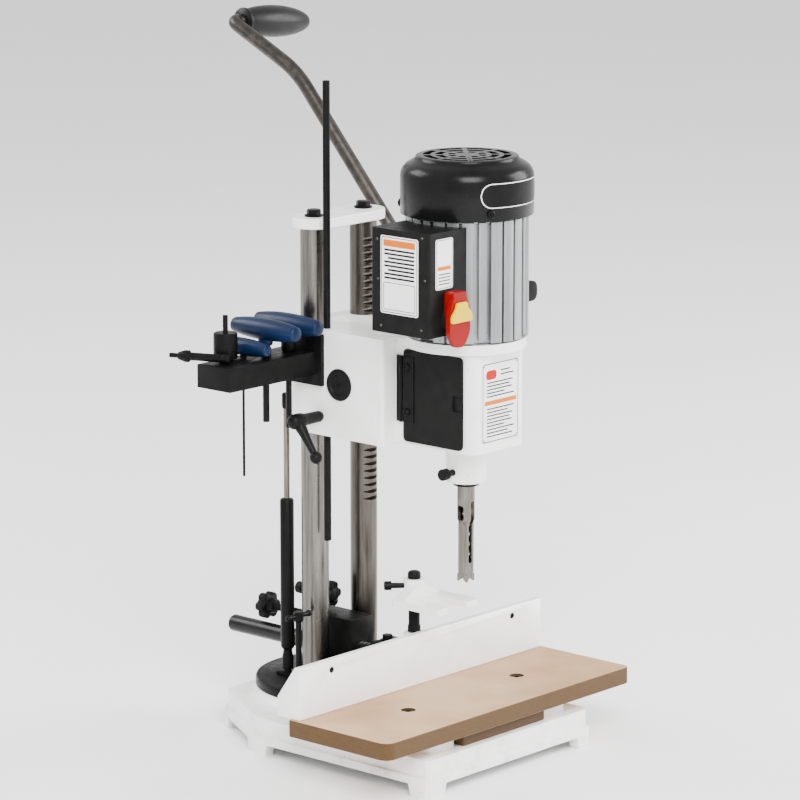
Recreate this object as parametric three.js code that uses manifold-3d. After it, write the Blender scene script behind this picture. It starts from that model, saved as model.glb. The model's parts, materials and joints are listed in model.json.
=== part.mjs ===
// Benchtop hollow-chisel mortising machine, in millimetres, +Z up.
// The machine is drawn about its spindle: X to the operator's right, Y to the back, spindle axis
// at X = 0, Y = 0, feet on Z = 0. The whole group is then moved so that its origin is the bottom
// centre of the bounding box.
import * as THREE from 'three';
import { mergeVertices } from 'three/addons/utils/BufferGeometryUtils.js';
import { ConvexGeometry } from 'three/addons/geometries/ConvexGeometry.js';
import Module from 'manifold-3d';

const wasm = await Module();
wasm.setup();

// ---------------------------------------------------------------- driving dimensions
const GAP = 0.3;                      // clearance between pieces that meet

// base and table
const BASE_TOP = 41.3;
const BASE_HALF_WIDTH = 134;
const BASE_FRONT = -64;
const BASE_SHOULDER = 185;            // where the sides start to taper
const BASE_BACK = 289;
const BASE_BACK_HALF_WIDTH = 74;
const FOOT_HEIGHT = 13.5;
const FOOT_LENGTH = 25;
const BOARD_LENGTH = 404;
const BOARD_FRONT = -67;
const BOARD_BACK = 73;
const BOARD_THICKNESS = 19;
const BOARD_TOP = 75.6;
const BOARD_SCREW_X = 90;
const BOARD_SCREW_Y = 3;

// columns
const COLUMN_RADIUS = 15;
const COLUMN_SEGMENTS = 20;
const COLUMN_X = 39.75;
const COLUMN_Y = 184;
const FLANGE_RADIUS = 94;
const FLANGE_BOTTOM = 53.2;
const FLANGE_TOP = 64.5;
const CAP_BOTTOM = 571.7;
const CAP_TOP = 583;

// rack and pinion of the head feed
const RACK_MODULE = 2.5;
const RACK_TEETH = 38;
const PINION_TEETH = 38;
const PINION_RADIUS = RACK_MODULE * PINION_TEETH / 2;
const PINION_Y = COLUMN_Y - COLUMN_RADIUS + RACK_MODULE - PINION_RADIUS;
const PINION_Z = 409;

// head
const HEAD_BOTTOM = 350;
const HEAD_TOP = 466;
const HOUSING_HALF_WIDTH = 65;
const HOUSING_FRONT = 62;
const FRONT_HALF_WIDTH = 43;
const FRONT_FACE = -47;
const NOSE_RADIUS = 22;
const NOSE_BOTTOM = 311;

// handle
const HANDLE_X = 148;
const HANDLE_ANGLE = 48.8;            // degrees above horizontal, leaning to the back
const HANDLE_REACH = 394;
const GRIP_TILT = 5.2;                // degrees that the grip droops below the horizontal
const HANDLE_RADIUS = 8;

// motor
const MOTOR_RADIUS = 66;
const MOTOR_BOTTOM = 471;
const MOTOR_TOP = 604;
const COVER_RADIUS = 71.5;
const COVER_BOTTOM = 602.7;
const COVER_TOP = 664;

// fence
const FENCE_FRONT = 59.6;
const FENCE_THICKNESS = 7;
const FENCE_HALF_LENGTH = 199;
const FENCE_BOTTOM = BOARD_TOP + 0.4;
const FENCE_TOP = 132.7;
const FENCE_BAR_Z = 92.3;
const FENCE_BAR_RADIUS = 13;
const FENCE_TAIL_RADIUS = 9.5;
const FENCE_BAR_BACK = 349;
const FENCE_MODULE = 1.5;
const FENCE_PINION_TEETH = 10;
const FENCE_PINION_Y = 164;
const FENCE_PINION_Z = FENCE_BAR_Z - (FENCE_BAR_RADIUS - FENCE_MODULE)
  - FENCE_MODULE * FENCE_PINION_TEETH / 2;
const BLOCK_HALF_WIDTH = 18;
const BLOCK_FRONT = 151;
const BLOCK_BACK = 222;
const BLOCK_TOP = 132.8;

// hold-down
const POST_Y = 74;
const POST_RADIUS = 6.25;
const FORK_BOTTOM = 165.4;
const FORK_THICKNESS = 7.4;

// depth stop
const ROD_X = -54;
const ROD_Y = 152;
const ROD_RADIUS = 4;
const LEVER_Z = 371;

// gas spring
const GAS_X = -46;
const GAS_Y = 220.5;
const GAS_STUD_Z = 376;

// switch box
const BOX_LEFT = -112;
const BOX_RIGHT = -50;
const BOX_FRONT = -44;
const BOX_BACK = 36;
const BOX_BOTTOM = 487;
const BOX_TOP = 597;

// tool holder
const HOLDER_LEFT = -202;
const HOLDER_FRONT = 155;
const HOLDER_BACK = 203;
const HOLDER_BOTTOM = 417;
const HOLDER_TOP = 442;
const HOLDER_Y = (HOLDER_FRONT + HOLDER_BACK) / 2;

// ---------------------------------------------------------------- materials
const finish = (color, roughness, metalness) => ({ color, roughness, metalness });
const WHITE_PAINT = finish('#f0efec', 0.35, 0);
const BLACK_OXIDE = finish('#1e1f1d', 0.5, 0.6);
const BLACK_PLASTIC = finish('#232426', 0.45, 0);
const GROUND_STEEL = finish('#9a9188', 0.3, 1);
const DARK_STEEL = finish('#5b504a', 0.45, 0.9);
const ALUMINIUM = finish('#9fa2a5', 0.45, 0.7);
const FIBREBOARD = finish('#cdb394', 0.6, 0);
const BLUE_PLASTIC = finish('#24406f', 0.35, 0);
const RED_PLASTIC = finish('#d5333a', 0.35, 0);
const YELLOW_PLASTIC = finish('#f2d21c', 0.35, 0);

// ---------------------------------------------------------------- solids and booleans
function withoutSlivers(index) {
  const kept = [];
  for (let i = 0; i < index.length; i += 3) {
    const [a, b, c] = [index[i], index[i + 1], index[i + 2]];
    if (a !== b && b !== c && c !== a) kept.push(a, b, c);
  }
  return kept;
}

function solidOf(geometry) {
  const bare = geometry.clone();
  for (const name of Object.keys(bare.attributes)) {
    if (name !== 'position') bare.deleteAttribute(name);
  }
  const merged = mergeVertices(bare, 1e-3);
  return new wasm.Manifold(new wasm.Mesh({
    numProp: 3,
    vertProperties: new Float32Array(merged.attributes.position.array),
    triVerts: new Uint32Array(withoutSlivers(merged.index.array)),
  }));
}

function geometryOf(solid) {
  const mesh = solid.getMesh();
  const geometry = new THREE.BufferGeometry();
  geometry.setAttribute('position', new THREE.BufferAttribute(mesh.vertProperties, 3));
  geometry.setIndex(new THREE.BufferAttribute(mesh.triVerts, 1));
  return geometry;
}

function join(...pieces) {
  return geometryOf(pieces.map(solidOf).reduce((sum, piece) => sum.add(piece)));
}

function cut(body, ...tools) {
  return geometryOf(tools.map(solidOf).reduce((rest, tool) => rest.subtract(tool), solidOf(body)));
}

// ---------------------------------------------------------------- shapes
const degrees = THREE.MathUtils.degToRad;

function box(x0, x1, y0, y1, z0, z1) {
  const geometry = new THREE.BoxGeometry(x1 - x0, y1 - y0, z1 - z0);
  return geometry.translate((x0 + x1) / 2, (y0 + y1) / 2, (z0 + z1) / 2);
}

// a turned piece about +Z from [radius, z] pairs, closed on the axis when the ends lie on it
function turned(profile, segments = 16) {
  const points = profile.map(([r, z]) => new THREE.Vector2(r, z));
  return new THREE.LatheGeometry(points, segments).rotateX(Math.PI / 2);
}

function upright(radius, x, y, z0, z1, segments = 16) {
  const geometry = new THREE.CylinderGeometry(radius, radius, z1 - z0, segments);
  return geometry.rotateX(Math.PI / 2).translate(x, y, (z0 + z1) / 2);
}

function alongX(radius, x0, x1, y, z, segments = 16) {
  const geometry = new THREE.CylinderGeometry(radius, radius, x1 - x0, segments);
  return geometry.rotateZ(-Math.PI / 2).translate((x0 + x1) / 2, y, z);
}

function alongY(radius, x, y0, y1, z, segments = 16) {
  const geometry = new THREE.CylinderGeometry(radius, radius, y1 - y0, segments);
  return geometry.translate(x, (y0 + y1) / 2, z);
}

// a turned piece laid along +Y or +X; its profile heights become Y or X
const layAlongY = (geometry) => geometry.rotateX(-Math.PI / 2);
const layAlongX = (geometry) => geometry.rotateY(Math.PI / 2);

function prism(shape, z0, z1, curveSegments = 3) {
  const options = { depth: z1 - z0, bevelEnabled: false, curveSegments };
  return new THREE.ExtrudeGeometry(shape, options).translate(0, 0, z0);
}

// the same prism standing in the YZ plane, its shape drawn as (y, z) and its length along X
const prismAlongX = (shape, x0, x1, curveSegments = 3) => prism(shape, x0, x1, curveSegments)
  .rotateZ(Math.PI / 2).rotateY(Math.PI / 2);

// its shape drawn as (x, z) and its length along Y
const prismAlongY = (shape, y0, y1, curveSegments = 3) => prism(shape, -y1, -y0, curveSegments)
  .rotateX(Math.PI / 2);

// polygon whose corners are rounded by the given radius, or by a corner's own third number
function roundedPolygon(points, radius) {
  const shape = new THREE.Shape();
  const corners = points.map(([x, y]) => new THREE.Vector2(x, y));
  corners.forEach((corner, i) => {
    const before = corners.at(i - 1);
    const after = corners[(i + 1) % corners.length];
    const size = points[i][2] ?? radius;
    const start = corner.clone().add(before.clone().sub(corner).setLength(size));
    const end = corner.clone().add(after.clone().sub(corner).setLength(size));
    if (i === 0) shape.moveTo(start.x, start.y);
    else shape.lineTo(start.x, start.y);
    shape.quadraticCurveTo(corner.x, corner.y, end.x, end.y);
  });
  shape.closePath();
  return shape;
}

const roundedRect = (x0, x1, y0, y1, radius) => roundedPolygon(
  [[x0, y0], [x1, y0], [x1, y1], [x0, y1]],
  radius,
);

function polygon(points) {
  return new THREE.Shape(points.map(([x, y]) => new THREE.Vector2(x, y)));
}

// two half circles about (-half, y) and (half, y), joined by straight sides
function stadium(half, y, radius) {
  const shape = new THREE.Shape();
  shape.absarc(half, y, radius, -Math.PI / 2, Math.PI / 2, false);
  shape.absarc(-half, y, radius, Math.PI / 2, 3 * Math.PI / 2, false);
  shape.closePath();
  return shape;
}

function hexagon(acrossFlats) {
  const radius = acrossFlats / Math.sqrt(3);
  const corners = [0, 1, 2, 3, 4, 5].map((i) => {
    const angle = i * Math.PI / 3;
    return [radius * Math.cos(angle), radius * Math.sin(angle)];
  });
  return polygon(corners);
}

// star knob outline with round lobes
function lobes(radius, count, depth) {
  const points = [];
  const steps = count * 4;
  for (let i = 0; i < steps; i += 1) {
    const angle = i * 2 * Math.PI / steps;
    const r = radius - depth * (1 - Math.cos(count * angle)) / 2;
    points.push([r * Math.cos(angle), r * Math.sin(angle)]);
  }
  return polygon(points);
}

// involute gear outline, a tooth centred on +X, thinned by the backlash
function gearOutline(teeth, module, backlash) {
  const pitch = teeth * module / 2;
  const pressure = degrees(20);
  const base = pitch * Math.cos(pressure);
  const inv = (angle) => Math.tan(angle) - angle;
  const root = pitch - 1.25 * module;
  const outer = pitch + module;
  const halfTooth = Math.PI / (2 * teeth) - backlash / (2 * pitch) + inv(pressure);
  const flank = (r) => (r > base ? halfTooth - inv(Math.acos(base / r)) : halfTooth);
  const radii = [root, pitch, outer];
  const points = [];
  for (let tooth = 0; tooth < teeth; tooth += 1) {
    const centre = tooth * 2 * Math.PI / teeth;
    for (const r of radii) points.push([r, centre - flank(r)]);
    for (const r of [...radii].reverse()) points.push([r, centre + flank(r)]);
  }
  return polygon(points.map(([r, a]) => [r * Math.cos(a), r * Math.sin(a)]));
}

// one tooth space of a straight rack: (depth below the tips, along the rack)
function rackSpace(module, centre) {
  const slope = Math.tan(degrees(20));
  const mouth = Math.PI * module / 4 + module * slope;
  const floor = Math.PI * module / 4 - 1.3 * module * slope;
  const rise = 0.6;
  return [
    [-rise, centre - mouth - rise * slope],
    [2.3 * module, centre - floor],
    [2.3 * module, centre + floor],
    [-rise, centre + mouth + rise * slope],
  ];
}

// ---------------------------------------------------------------- group
const machine = new THREE.Group();

function add(name, geometry, look) {
  const bare = geometry.clone();
  bare.computeVertexNormals();
  const mesh = new THREE.Mesh(bare, new THREE.MeshStandardMaterial(look));
  mesh.name = name;
  machine.add(mesh);
  return mesh;
}

// ---------------------------------------------------------------- base and table
function baseOutline(grow) {
  return roundedPolygon([
    [-BASE_HALF_WIDTH - grow, BASE_FRONT - grow],
    [BASE_HALF_WIDTH + grow, BASE_FRONT - grow],
    [BASE_HALF_WIDTH + grow, BASE_SHOULDER + grow * 0.5],
    [BASE_BACK_HALF_WIDTH + grow * 0.6, BASE_BACK + grow],
    [-BASE_BACK_HALF_WIDTH - grow * 0.6, BASE_BACK + grow],
    [-BASE_HALF_WIDTH - grow, BASE_SHOULDER + grow * 0.5],
  ], 10 + grow);
}

// opening between two feet, wider at the floor because the feet taper downwards
function archOutline(start, end) {
  const flare = 5;
  return polygon([
    [start - flare, -5], [end + flare, -5], [end, FOOT_HEIGHT], [start, FOOT_HEIGHT],
  ]);
}

function baseCasting() {
  const wall = 9;
  const deck = 10;
  const rimTop = FOOT_HEIGHT + 8.5;
  const shell = cut(
    join(
      prism(baseOutline(0), 5, BASE_TOP),
      prism(baseOutline(4), 0, rimTop),
      turned([
        [0, BASE_TOP - 5], [FLANGE_RADIUS + 17, BASE_TOP - 5], [FLANGE_RADIUS + 15, BASE_TOP],
        [FLANGE_RADIUS + 7, BASE_TOP + 2.4], [FLANGE_RADIUS + 2.2, BASE_TOP + 6.5],
        [FLANGE_RADIUS, FLANGE_BOTTOM - GAP], [0, FLANGE_BOTTOM - GAP],
      ], 36).translate(0, COLUMN_Y, 0),
      ...[-1, 1].map((side) => prism(
        roundedRect(side * 92 - 22, side * 92 + 22, -48, 56, 8),
        BASE_TOP - 2,
        BOARD_TOP - BOARD_THICKNESS - GAP,
      )),
    ),
    prism(baseOutline(-wall), -5, BASE_TOP - deck),
  );
  const sideSpan = [BASE_FRONT + FOOT_LENGTH, BASE_SHOULDER - FOOT_LENGTH + 6];
  const reach = BASE_HALF_WIDTH + 20;
  const frontSpan = BASE_HALF_WIDTH - FOOT_LENGTH;
  const backSpan = BASE_BACK_HALF_WIDTH - FOOT_LENGTH + 4;
  const taper = Math.hypot(BASE_HALF_WIDTH - BASE_BACK_HALF_WIDTH, BASE_BACK - BASE_SHOULDER);
  const taperAngle = Math.atan2(BASE_BACK - BASE_SHOULDER, BASE_BACK_HALF_WIDTH - BASE_HALF_WIDTH);
  const taperArch = (side) => {
    const half = taper / 2 - FOOT_LENGTH + 4;
    const angle = side > 0 ? taperAngle : Math.PI - taperAngle;
    const x = side * (BASE_HALF_WIDTH + BASE_BACK_HALF_WIDTH) / 2;
    return prismAlongY(archOutline(-half, half), -25, 25).rotateZ(angle)
      .translate(x, (BASE_SHOULDER + BASE_BACK) / 2, 0);
  };
  return cut(
    shell,
    prismAlongX(archOutline(...sideSpan), -reach, reach),
    prismAlongY(archOutline(-frontSpan, frontSpan), BASE_FRONT - 20, BASE_FRONT + 20),
    prismAlongY(archOutline(-backSpan, backSpan), BASE_BACK - 20, BASE_BACK + 20),
    taperArch(-1),
    taperArch(1),
    ...[-1, 1].map((side) => upright(
      3.2,
      side * BOARD_SCREW_X,
      BOARD_SCREW_Y,
      BASE_TOP + 1,
      BOARD_TOP,
      16,
    )),
  );
}

function tableBoard() {
  const half = BOARD_LENGTH / 2;
  const outline = roundedPolygon([
    [-half, BOARD_FRONT, 14], [half, BOARD_FRONT, 8], [half, BOARD_BACK], [-half, BOARD_BACK],
  ], 2);
  const board = prism(outline, BOARD_TOP - BOARD_THICKNESS, BOARD_TOP);
  const holes = [-1, 1].map((side) => turned([
    [0, BOARD_TOP - BOARD_THICKNESS - 1], [3.3, BOARD_TOP - BOARD_THICKNESS - 1],
    [3.3, BOARD_TOP - 7.5], [7.8, BOARD_TOP - 3], [7.8, BOARD_TOP + 1], [0, BOARD_TOP + 1],
  ]).translate(side * BOARD_SCREW_X, BOARD_SCREW_Y, 0));
  return cut(board, ...holes);
}

function boardScrew(side) {
  const top = BOARD_TOP - 1.6;
  const screw = turned([
    [0, BASE_TOP + 2], [2.9, BASE_TOP + 2], [2.9, top - 4.9], [6.4, top - 1.4], [6.4, top],
    [0, top],
  ]);
  const socket = prism(hexagon(5), top - 3, top + 1);
  return cut(screw, socket).translate(side * BOARD_SCREW_X, BOARD_SCREW_Y, 0);
}

function boardBatten() {
  const bottom = BASE_TOP + GAP;
  const top = BOARD_TOP - BOARD_THICKNESS - GAP;
  return prism(roundedRect(-68, 68, -56, 40, 3), bottom, top);
}

// ---------------------------------------------------------------- columns
const columnSides = [-COLUMN_X, COLUMN_X];

function columnFlange() {
  const disc = turned([
    [0, FLANGE_BOTTOM], [FLANGE_RADIUS - 0.8, FLANGE_BOTTOM], [FLANGE_RADIUS, FLANGE_BOTTOM + 1],
    [FLANGE_RADIUS, FLANGE_TOP - 3], [FLANGE_RADIUS - 1, FLANGE_TOP - 1],
    [FLANGE_RADIUS - 3.5, FLANGE_TOP], [0, FLANGE_TOP],
  ], 40).translate(0, COLUMN_Y, 0);
  const bores = columnSides.map((x) => upright(
    COLUMN_RADIUS + GAP,
    x,
    COLUMN_Y,
    FLANGE_BOTTOM - 1,
    FLANGE_TOP + 1,
    COLUMN_SEGMENTS,
  ));
  const pinionPocket = box(-9, 9, FENCE_PINION_Y - 11, FENCE_PINION_Y + 11, 61, FLANGE_TOP + 1);
  return cut(disc, ...bores, pinionPocket);
}

function columnBlank(x) {
  const top = CAP_BOTTOM - GAP;
  const bar = upright(COLUMN_RADIUS, x, COLUMN_Y, FLANGE_BOTTOM, top, COLUMN_SEGMENTS);
  return cut(bar, upright(5.4, x, COLUMN_Y, top - 24, top + 1));
}

function rackColumn() {
  const pitch = Math.PI * RACK_MODULE;
  const front = COLUMN_Y - COLUMN_RADIUS;
  const spaces = [];
  for (let i = 0; i < RACK_TEETH; i += 1) {
    const outline = rackSpace(RACK_MODULE, PINION_Z + (i - RACK_TEETH / 2) * pitch)
      .map(([depth, z]) => [front + depth, z]);
    spaces.push(prismAlongX(polygon(outline), COLUMN_X - 16, COLUMN_X + 16));
  }
  return cut(columnBlank(COLUMN_X), ...spaces);
}

function columnCap() {
  const plate = prism(stadium(COLUMN_X, COLUMN_Y, 24), CAP_BOTTOM, CAP_TOP, 6);
  return cut(plate, ...columnSides.map((x) => upright(5.6, x, COLUMN_Y, 570, 590, 12)));
}

function capBolt(x) {
  const seat = CAP_TOP + GAP;
  return join(
    upright(5, 0, 0, CAP_BOTTOM - 20, seat + 1),
    upright(10, 0, 0, seat, seat + 1.6),
    prism(hexagon(14), seat + 1, seat + 7.4),
  ).translate(x, COLUMN_Y, 0);
}

function buildColumns() {
  add('column_flange', columnFlange(), BLACK_OXIDE);
  add('left_column', columnBlank(-COLUMN_X), GROUND_STEEL);
  add('rack_column', rackColumn(), GROUND_STEEL);
  add('column_cap', columnCap(), WHITE_PAINT);
  add('cap_bolt_left', capBolt(-COLUMN_X), BLACK_OXIDE);
  add('cap_bolt_right', capBolt(COLUMN_X), BLACK_OXIDE);
}

// ---------------------------------------------------------------- fence carrier and its controls
const LOCK_STUD_X = 8;
const LOCK_STUD_Z = 119.5;
const LUG_SCREW_Z = 151.5;
const LUG_FRONT = 212;
const FEED_KNOB_X = 60;
const SWIVEL_LOCK_X = -80;            // near the flange's rim, to the left of the columns
const SWIVEL_LOCK_Y = 172;

function fenceBlock() {
  const body = join(
    box(-BLOCK_HALF_WIDTH, BLOCK_HALF_WIDTH, BLOCK_FRONT, BLOCK_BACK, FLANGE_TOP + GAP, BLOCK_TOP),
    prismAlongY(roundedRect(-12, 12, BLOCK_TOP - 4, LUG_SCREW_Z + 12, 9), LUG_FRONT, BLOCK_BACK),
  );
  const cavity = 9.6;
  return cut(
    body,
    alongY(FENCE_BAR_RADIUS + GAP, 0, BLOCK_FRONT - 1, BLOCK_BACK + 1, FENCE_BAR_Z),
    alongX(cavity, -8, 8, FENCE_PINION_Y, FENCE_PINION_Z),
    box(-8, 8, FENCE_PINION_Y - cavity, FENCE_PINION_Y + cavity, FLANGE_TOP - 1, FENCE_PINION_Z),
    alongX(3.8, -19, 19, FENCE_PINION_Y, FENCE_PINION_Z),
    alongY(4.3, LOCK_STUD_X, BLOCK_BACK - 24, BLOCK_BACK + 1, LOCK_STUD_Z),
    alongY(4.4, 0, LUG_FRONT - 1, BLOCK_BACK + 1, LUG_SCREW_Z),
  );
}

// star knob with its stud: the stud runs from the knob's face, along +Z from z = 0 downwards
function starKnob(radius, thickness, studRadius, studLength) {
  return join(
    prism(lobes(radius, 6, 3.2), 0, thickness),
    turned([[0, -7], [7, -7], [9, 0.5], [0, 0.5]]),
    turned([[0, thickness - 1], [radius * 0.62, thickness - 1], [radius * 0.5, thickness + 4],
      [0, thickness + 5]]),
    upright(studRadius, 0, 0, -7 - studLength, -6),
  );
}

// ribbed knob low enough to turn above the flange
function fenceFeedKnob() {
  const outline = lobes(FENCE_PINION_Z - FLANGE_TOP - 0.4, 12, 0.8);
  const grip = prismAlongX(outline, FEED_KNOB_X, FEED_KNOB_X + 20);
  return cut(grip, alongX(3.5 + GAP, FEED_KNOB_X - 1, FEED_KNOB_X + 2 + GAP, 0, 0));
}

function buildFenceControls() {
  add('fence_block', fenceBlock(), BLACK_OXIDE);
  const gear = prism(gearOutline(FENCE_PINION_TEETH, FENCE_MODULE, 0.35), -7, 7)
    .rotateZ(Math.PI / 2).rotateY(Math.PI / 2).rotateX(Math.PI / 2);
  const shaft = alongX(3.5, -17.5, FEED_KNOB_X + 2, 0, 0);
  add('fence_pinion', join(gear, shaft).translate(0, FENCE_PINION_Y, FENCE_PINION_Z), GROUND_STEEL);
  const feedKnob = fenceFeedKnob().translate(0, FENCE_PINION_Y, FENCE_PINION_Z);
  add('fence_feed_knob', feedKnob, BLACK_PLASTIC);
  const lockKnob = layAlongY(starKnob(15.5, 12, 4, 90)).translate(LOCK_STUD_X, 296, LOCK_STUD_Z);
  add('fence_lock_knob', lockKnob, BLACK_PLASTIC);
  const lugScrew = join(starKnob(15.2, 9, 4, 36), upright(6.7, 0, 0, -42, -33));
  const lugKnob = layAlongY(lugScrew).rotateZ(Math.PI)
    .translate(0, LUG_FRONT - 7.5, LUG_SCREW_Z);
  add('block_clamp_knob', lugKnob, BLACK_PLASTIC);
}

function swivelLock() {
  const top = 148;
  return join(
    prism(hexagon(17), FLANGE_TOP + GAP, FLANGE_TOP + 9),
    upright(3.5, 0, 0, FLANGE_TOP + 8, top),
    upright(5.5, 0, 0, top - 7, top + 4),
    alongX(2.6, -16, 16, 0, top - 1),
    new THREE.SphereGeometry(3.6, 8, 6).translate(-16, 0, top - 1),
    new THREE.SphereGeometry(3.6, 8, 6).translate(16, 0, top - 1),
  ).translate(SWIVEL_LOCK_X, SWIVEL_LOCK_Y, 0);
}

// ---------------------------------------------------------------- gas spring
function buildGasSpring() {
  const seat = FLANGE_TOP + GAP;
  const bracket = join(
    box(GAS_X - 9, GAS_X + 9, GAS_Y - 12, GAS_Y + 9, seat, seat + 3.5),
    upright(4, GAS_X, GAS_Y, seat + 2, seat + 8),
    new THREE.SphereGeometry(5, 12, 8).translate(GAS_X, GAS_Y, seat + 11),
  );
  add('gas_bracket', bracket, BLACK_OXIDE);
  const socketTop = 96;
  const tubeTop = 265.5;
  const cylinder = cut(
    turned([
      [0, seat + 7], [6.2, seat + 7], [6.6, socketTop - 12], [5, socketTop - 4],
      [7.7, socketTop], [7.7, tubeTop - 1.5], [6.5, tubeTop], [0, tubeTop],
    ]),
    turned([[0, seat + 5], [4.6, seat + 5], [5.3, seat + 11], [5.3, seat + 16.5],
      [0, seat + 17]]),
    upright(3.7, 0, 0, socketTop + 6, tubeTop + 1),
  ).translate(GAS_X, GAS_Y, 0);
  add('gas_cylinder', cylinder, BLACK_OXIDE);
  const rodBottom = 203.5;
  const rod = cut(
    turned([
      [0, rodBottom], [3.3, rodBottom], [3.3, GAS_STUD_Z - 9], [6, GAS_STUD_Z - 8],
      [6.5, GAS_STUD_Z - 6], [6.5, GAS_STUD_Z + 6], [4.5, GAS_STUD_Z + 9], [0, GAS_STUD_Z + 9],
    ]).translate(GAS_X, GAS_Y, 0),
    alongY(4, GAS_X, GAS_Y - 12, GAS_Y + 3, GAS_STUD_Z),
  );
  add('gas_rod', rod, GROUND_STEEL);
}

// ---------------------------------------------------------------- fence
function fenceBar() {
  const pitch = Math.PI * FENCE_MODULE;
  const tip = FENCE_BAR_RADIUS;
  const slope = Math.tan(degrees(20));
  const mouth = pitch / 4 + FENCE_MODULE * slope;
  const floor = pitch / 4 - 1.3 * FENCE_MODULE * slope;
  const profile = [[0, 89], [tip - 1, 89], [tip, 90]];
  for (let i = -7; i <= 8; i += 1) {
    const y = FENCE_PINION_Y + i * pitch;
    profile.push([tip, y - mouth], [tip - 2.3 * FENCE_MODULE, y - floor]);
    profile.push([tip - 2.3 * FENCE_MODULE, y + floor], [tip, y + mouth]);
  }
  const step = 214;
  profile.push([tip, step], [FENCE_TAIL_RADIUS, step + 2], [FENCE_TAIL_RADIUS, FENCE_BAR_BACK - 2]);
  profile.push([FENCE_TAIL_RADIUS - 2, FENCE_BAR_BACK], [0, FENCE_BAR_BACK]);
  return layAlongY(turned(profile, 12).rotateZ(Math.PI)).translate(0, 0, FENCE_BAR_Z);
}

function fenceBracket() {
  const back = FENCE_FRONT + FENCE_THICKNESS + GAP;
  const bottom = FENCE_BOTTOM + 0.4;
  const body = join(
    prismAlongY(roundedRect(-46, 46, bottom, 112, 5), back, back + 8),
    prismAlongY(roundedRect(-21, 21, bottom, 114.5, 6), back + 4, 121),
  );
  return cut(
    body,
    alongY(FENCE_BAR_RADIUS + GAP, 0, 88.5, 125, FENCE_BAR_Z),
    upright(POST_RADIUS + 6, 0, POST_Y, 109.5, 118),
  );
}

function fence() {
  const back = FENCE_FRONT + FENCE_THICKNESS;
  const half = FENCE_HALF_LENGTH;
  const end = polygon([
    [FENCE_FRONT + 1, FENCE_BOTTOM], [91.5, FENCE_BOTTOM], [91.5, FENCE_BOTTOM + 21.5],
    [back, FENCE_TOP], [FENCE_FRONT + 1, FENCE_TOP],
  ]);
  const body = join(
    box(-half, half, FENCE_FRONT, back, FENCE_BOTTOM, FENCE_TOP),
    prismAlongX(end, -half, -half + 7),
    prismAlongX(end, half - 7, half),
    turned([[0, 116], [8.5, 116], [11, 120], [11, 131], [0, 131]]).translate(0, POST_Y, 0),
  );
  const screwHole = (x) => alongY(2.6, x, FENCE_FRONT - 1, back + 1, 121.5);
  return cut(
    body,
    screwHole(-149),
    screwHole(149),
    upright(POST_RADIUS + GAP, 0, POST_Y, 119, 135),
  );
}

function holdDownPost() {
  return turned([
    [0, 120], [POST_RADIUS, 120], [POST_RADIUS, 131.3], [7.1, 131.3], [7.1, 138.5],
    [POST_RADIUS, 139.5], [POST_RADIUS, 191.2], [7.2, 191.2], [7.2, 195.5], [5.6, 198.6],
    [0, 199.6],
  ]).translate(0, POST_Y, 0);
}

function holdDownFork() {
  const outline = roundedPolygon([
    [-34, 10.5], [-14.5, 10.5], [-13.5, 50], [-6, 58], [6, 58], [13.5, 50], [14.5, 10.5],
    [34, 10.5], [34, 77], [-34, 77],
  ], 3);
  const top = FORK_BOTTOM + FORK_THICKNESS;
  const web = polygon([[-30, top - 0.5], [30, top - 0.5], [9, top + 12], [-9, top + 12]]);
  const body = join(
    prism(outline, FORK_BOTTOM, top, 3),
    prismAlongY(web, 62.5, 76.5),
    upright(11.5, 0, POST_Y, FORK_BOTTOM, 190.9),
  );
  const boltHole = alongX(3.4, -20, -4, 0, 183).rotateZ(-Math.PI / 4).translate(0, POST_Y, 0);
  return cut(body, upright(POST_RADIUS + GAP, 0, POST_Y, 160, 195), boltHole);
}

function holdDownBolt() {
  const reach = 33;
  const head = cut(
    layAlongX(turned([[0, -reach], [5, -reach], [5, -reach + 8], [0, -reach + 8]])),
    layAlongX(prism(hexagon(5), -reach - 1, -reach + 4)),
  );
  return join(head, alongX(3, -reach + 7, -POST_RADIUS - 0.6, 0, 0))
    .rotateZ(-Math.PI / 4).translate(0, POST_Y, 183);
}

// ---------------------------------------------------------------- head
const POCKET_WIDTH = 24;

function headShell() {
  const front = roundedRect(-FRONT_HALF_WIDTH, FRONT_HALF_WIDTH, FRONT_FACE, 80, 12);
  return join(
    prism(stadium(COLUMN_X, COLUMN_Y, HOUSING_HALF_WIDTH - COLUMN_X), HEAD_BOTTOM, HEAD_TOP, 7),
    prism(
      roundedRect(-HOUSING_HALF_WIDTH, HOUSING_HALF_WIDTH, HOUSING_FRONT, COLUMN_Y, 5),
      HEAD_BOTTOM,
      HEAD_TOP,
      3,
    ),
    prism(front, HEAD_BOTTOM + 2, HEAD_TOP),
    turned([
      [0, NOSE_BOTTOM], [NOSE_RADIUS - 3, NOSE_BOTTOM], [NOSE_RADIUS, NOSE_BOTTOM + 4],
      [NOSE_RADIUS, HEAD_BOTTOM - 3], [NOSE_RADIUS + 5, HEAD_BOTTOM + 3], [0, HEAD_BOTTOM + 3],
    ]),
    upright(MOTOR_RADIUS - 2, 0, 0, HEAD_TOP - 6, MOTOR_BOTTOM - GAP, 28),
    box(GAS_X - 8, GAS_X + 8, COLUMN_Y + 18, COLUMN_Y + 29.2, GAS_STUD_Z - 9, GAS_STUD_Z + 10),
    alongY(3.6, GAS_X, COLUMN_Y + 28, GAS_Y + 2, GAS_STUD_Z),
  );
}

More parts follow.
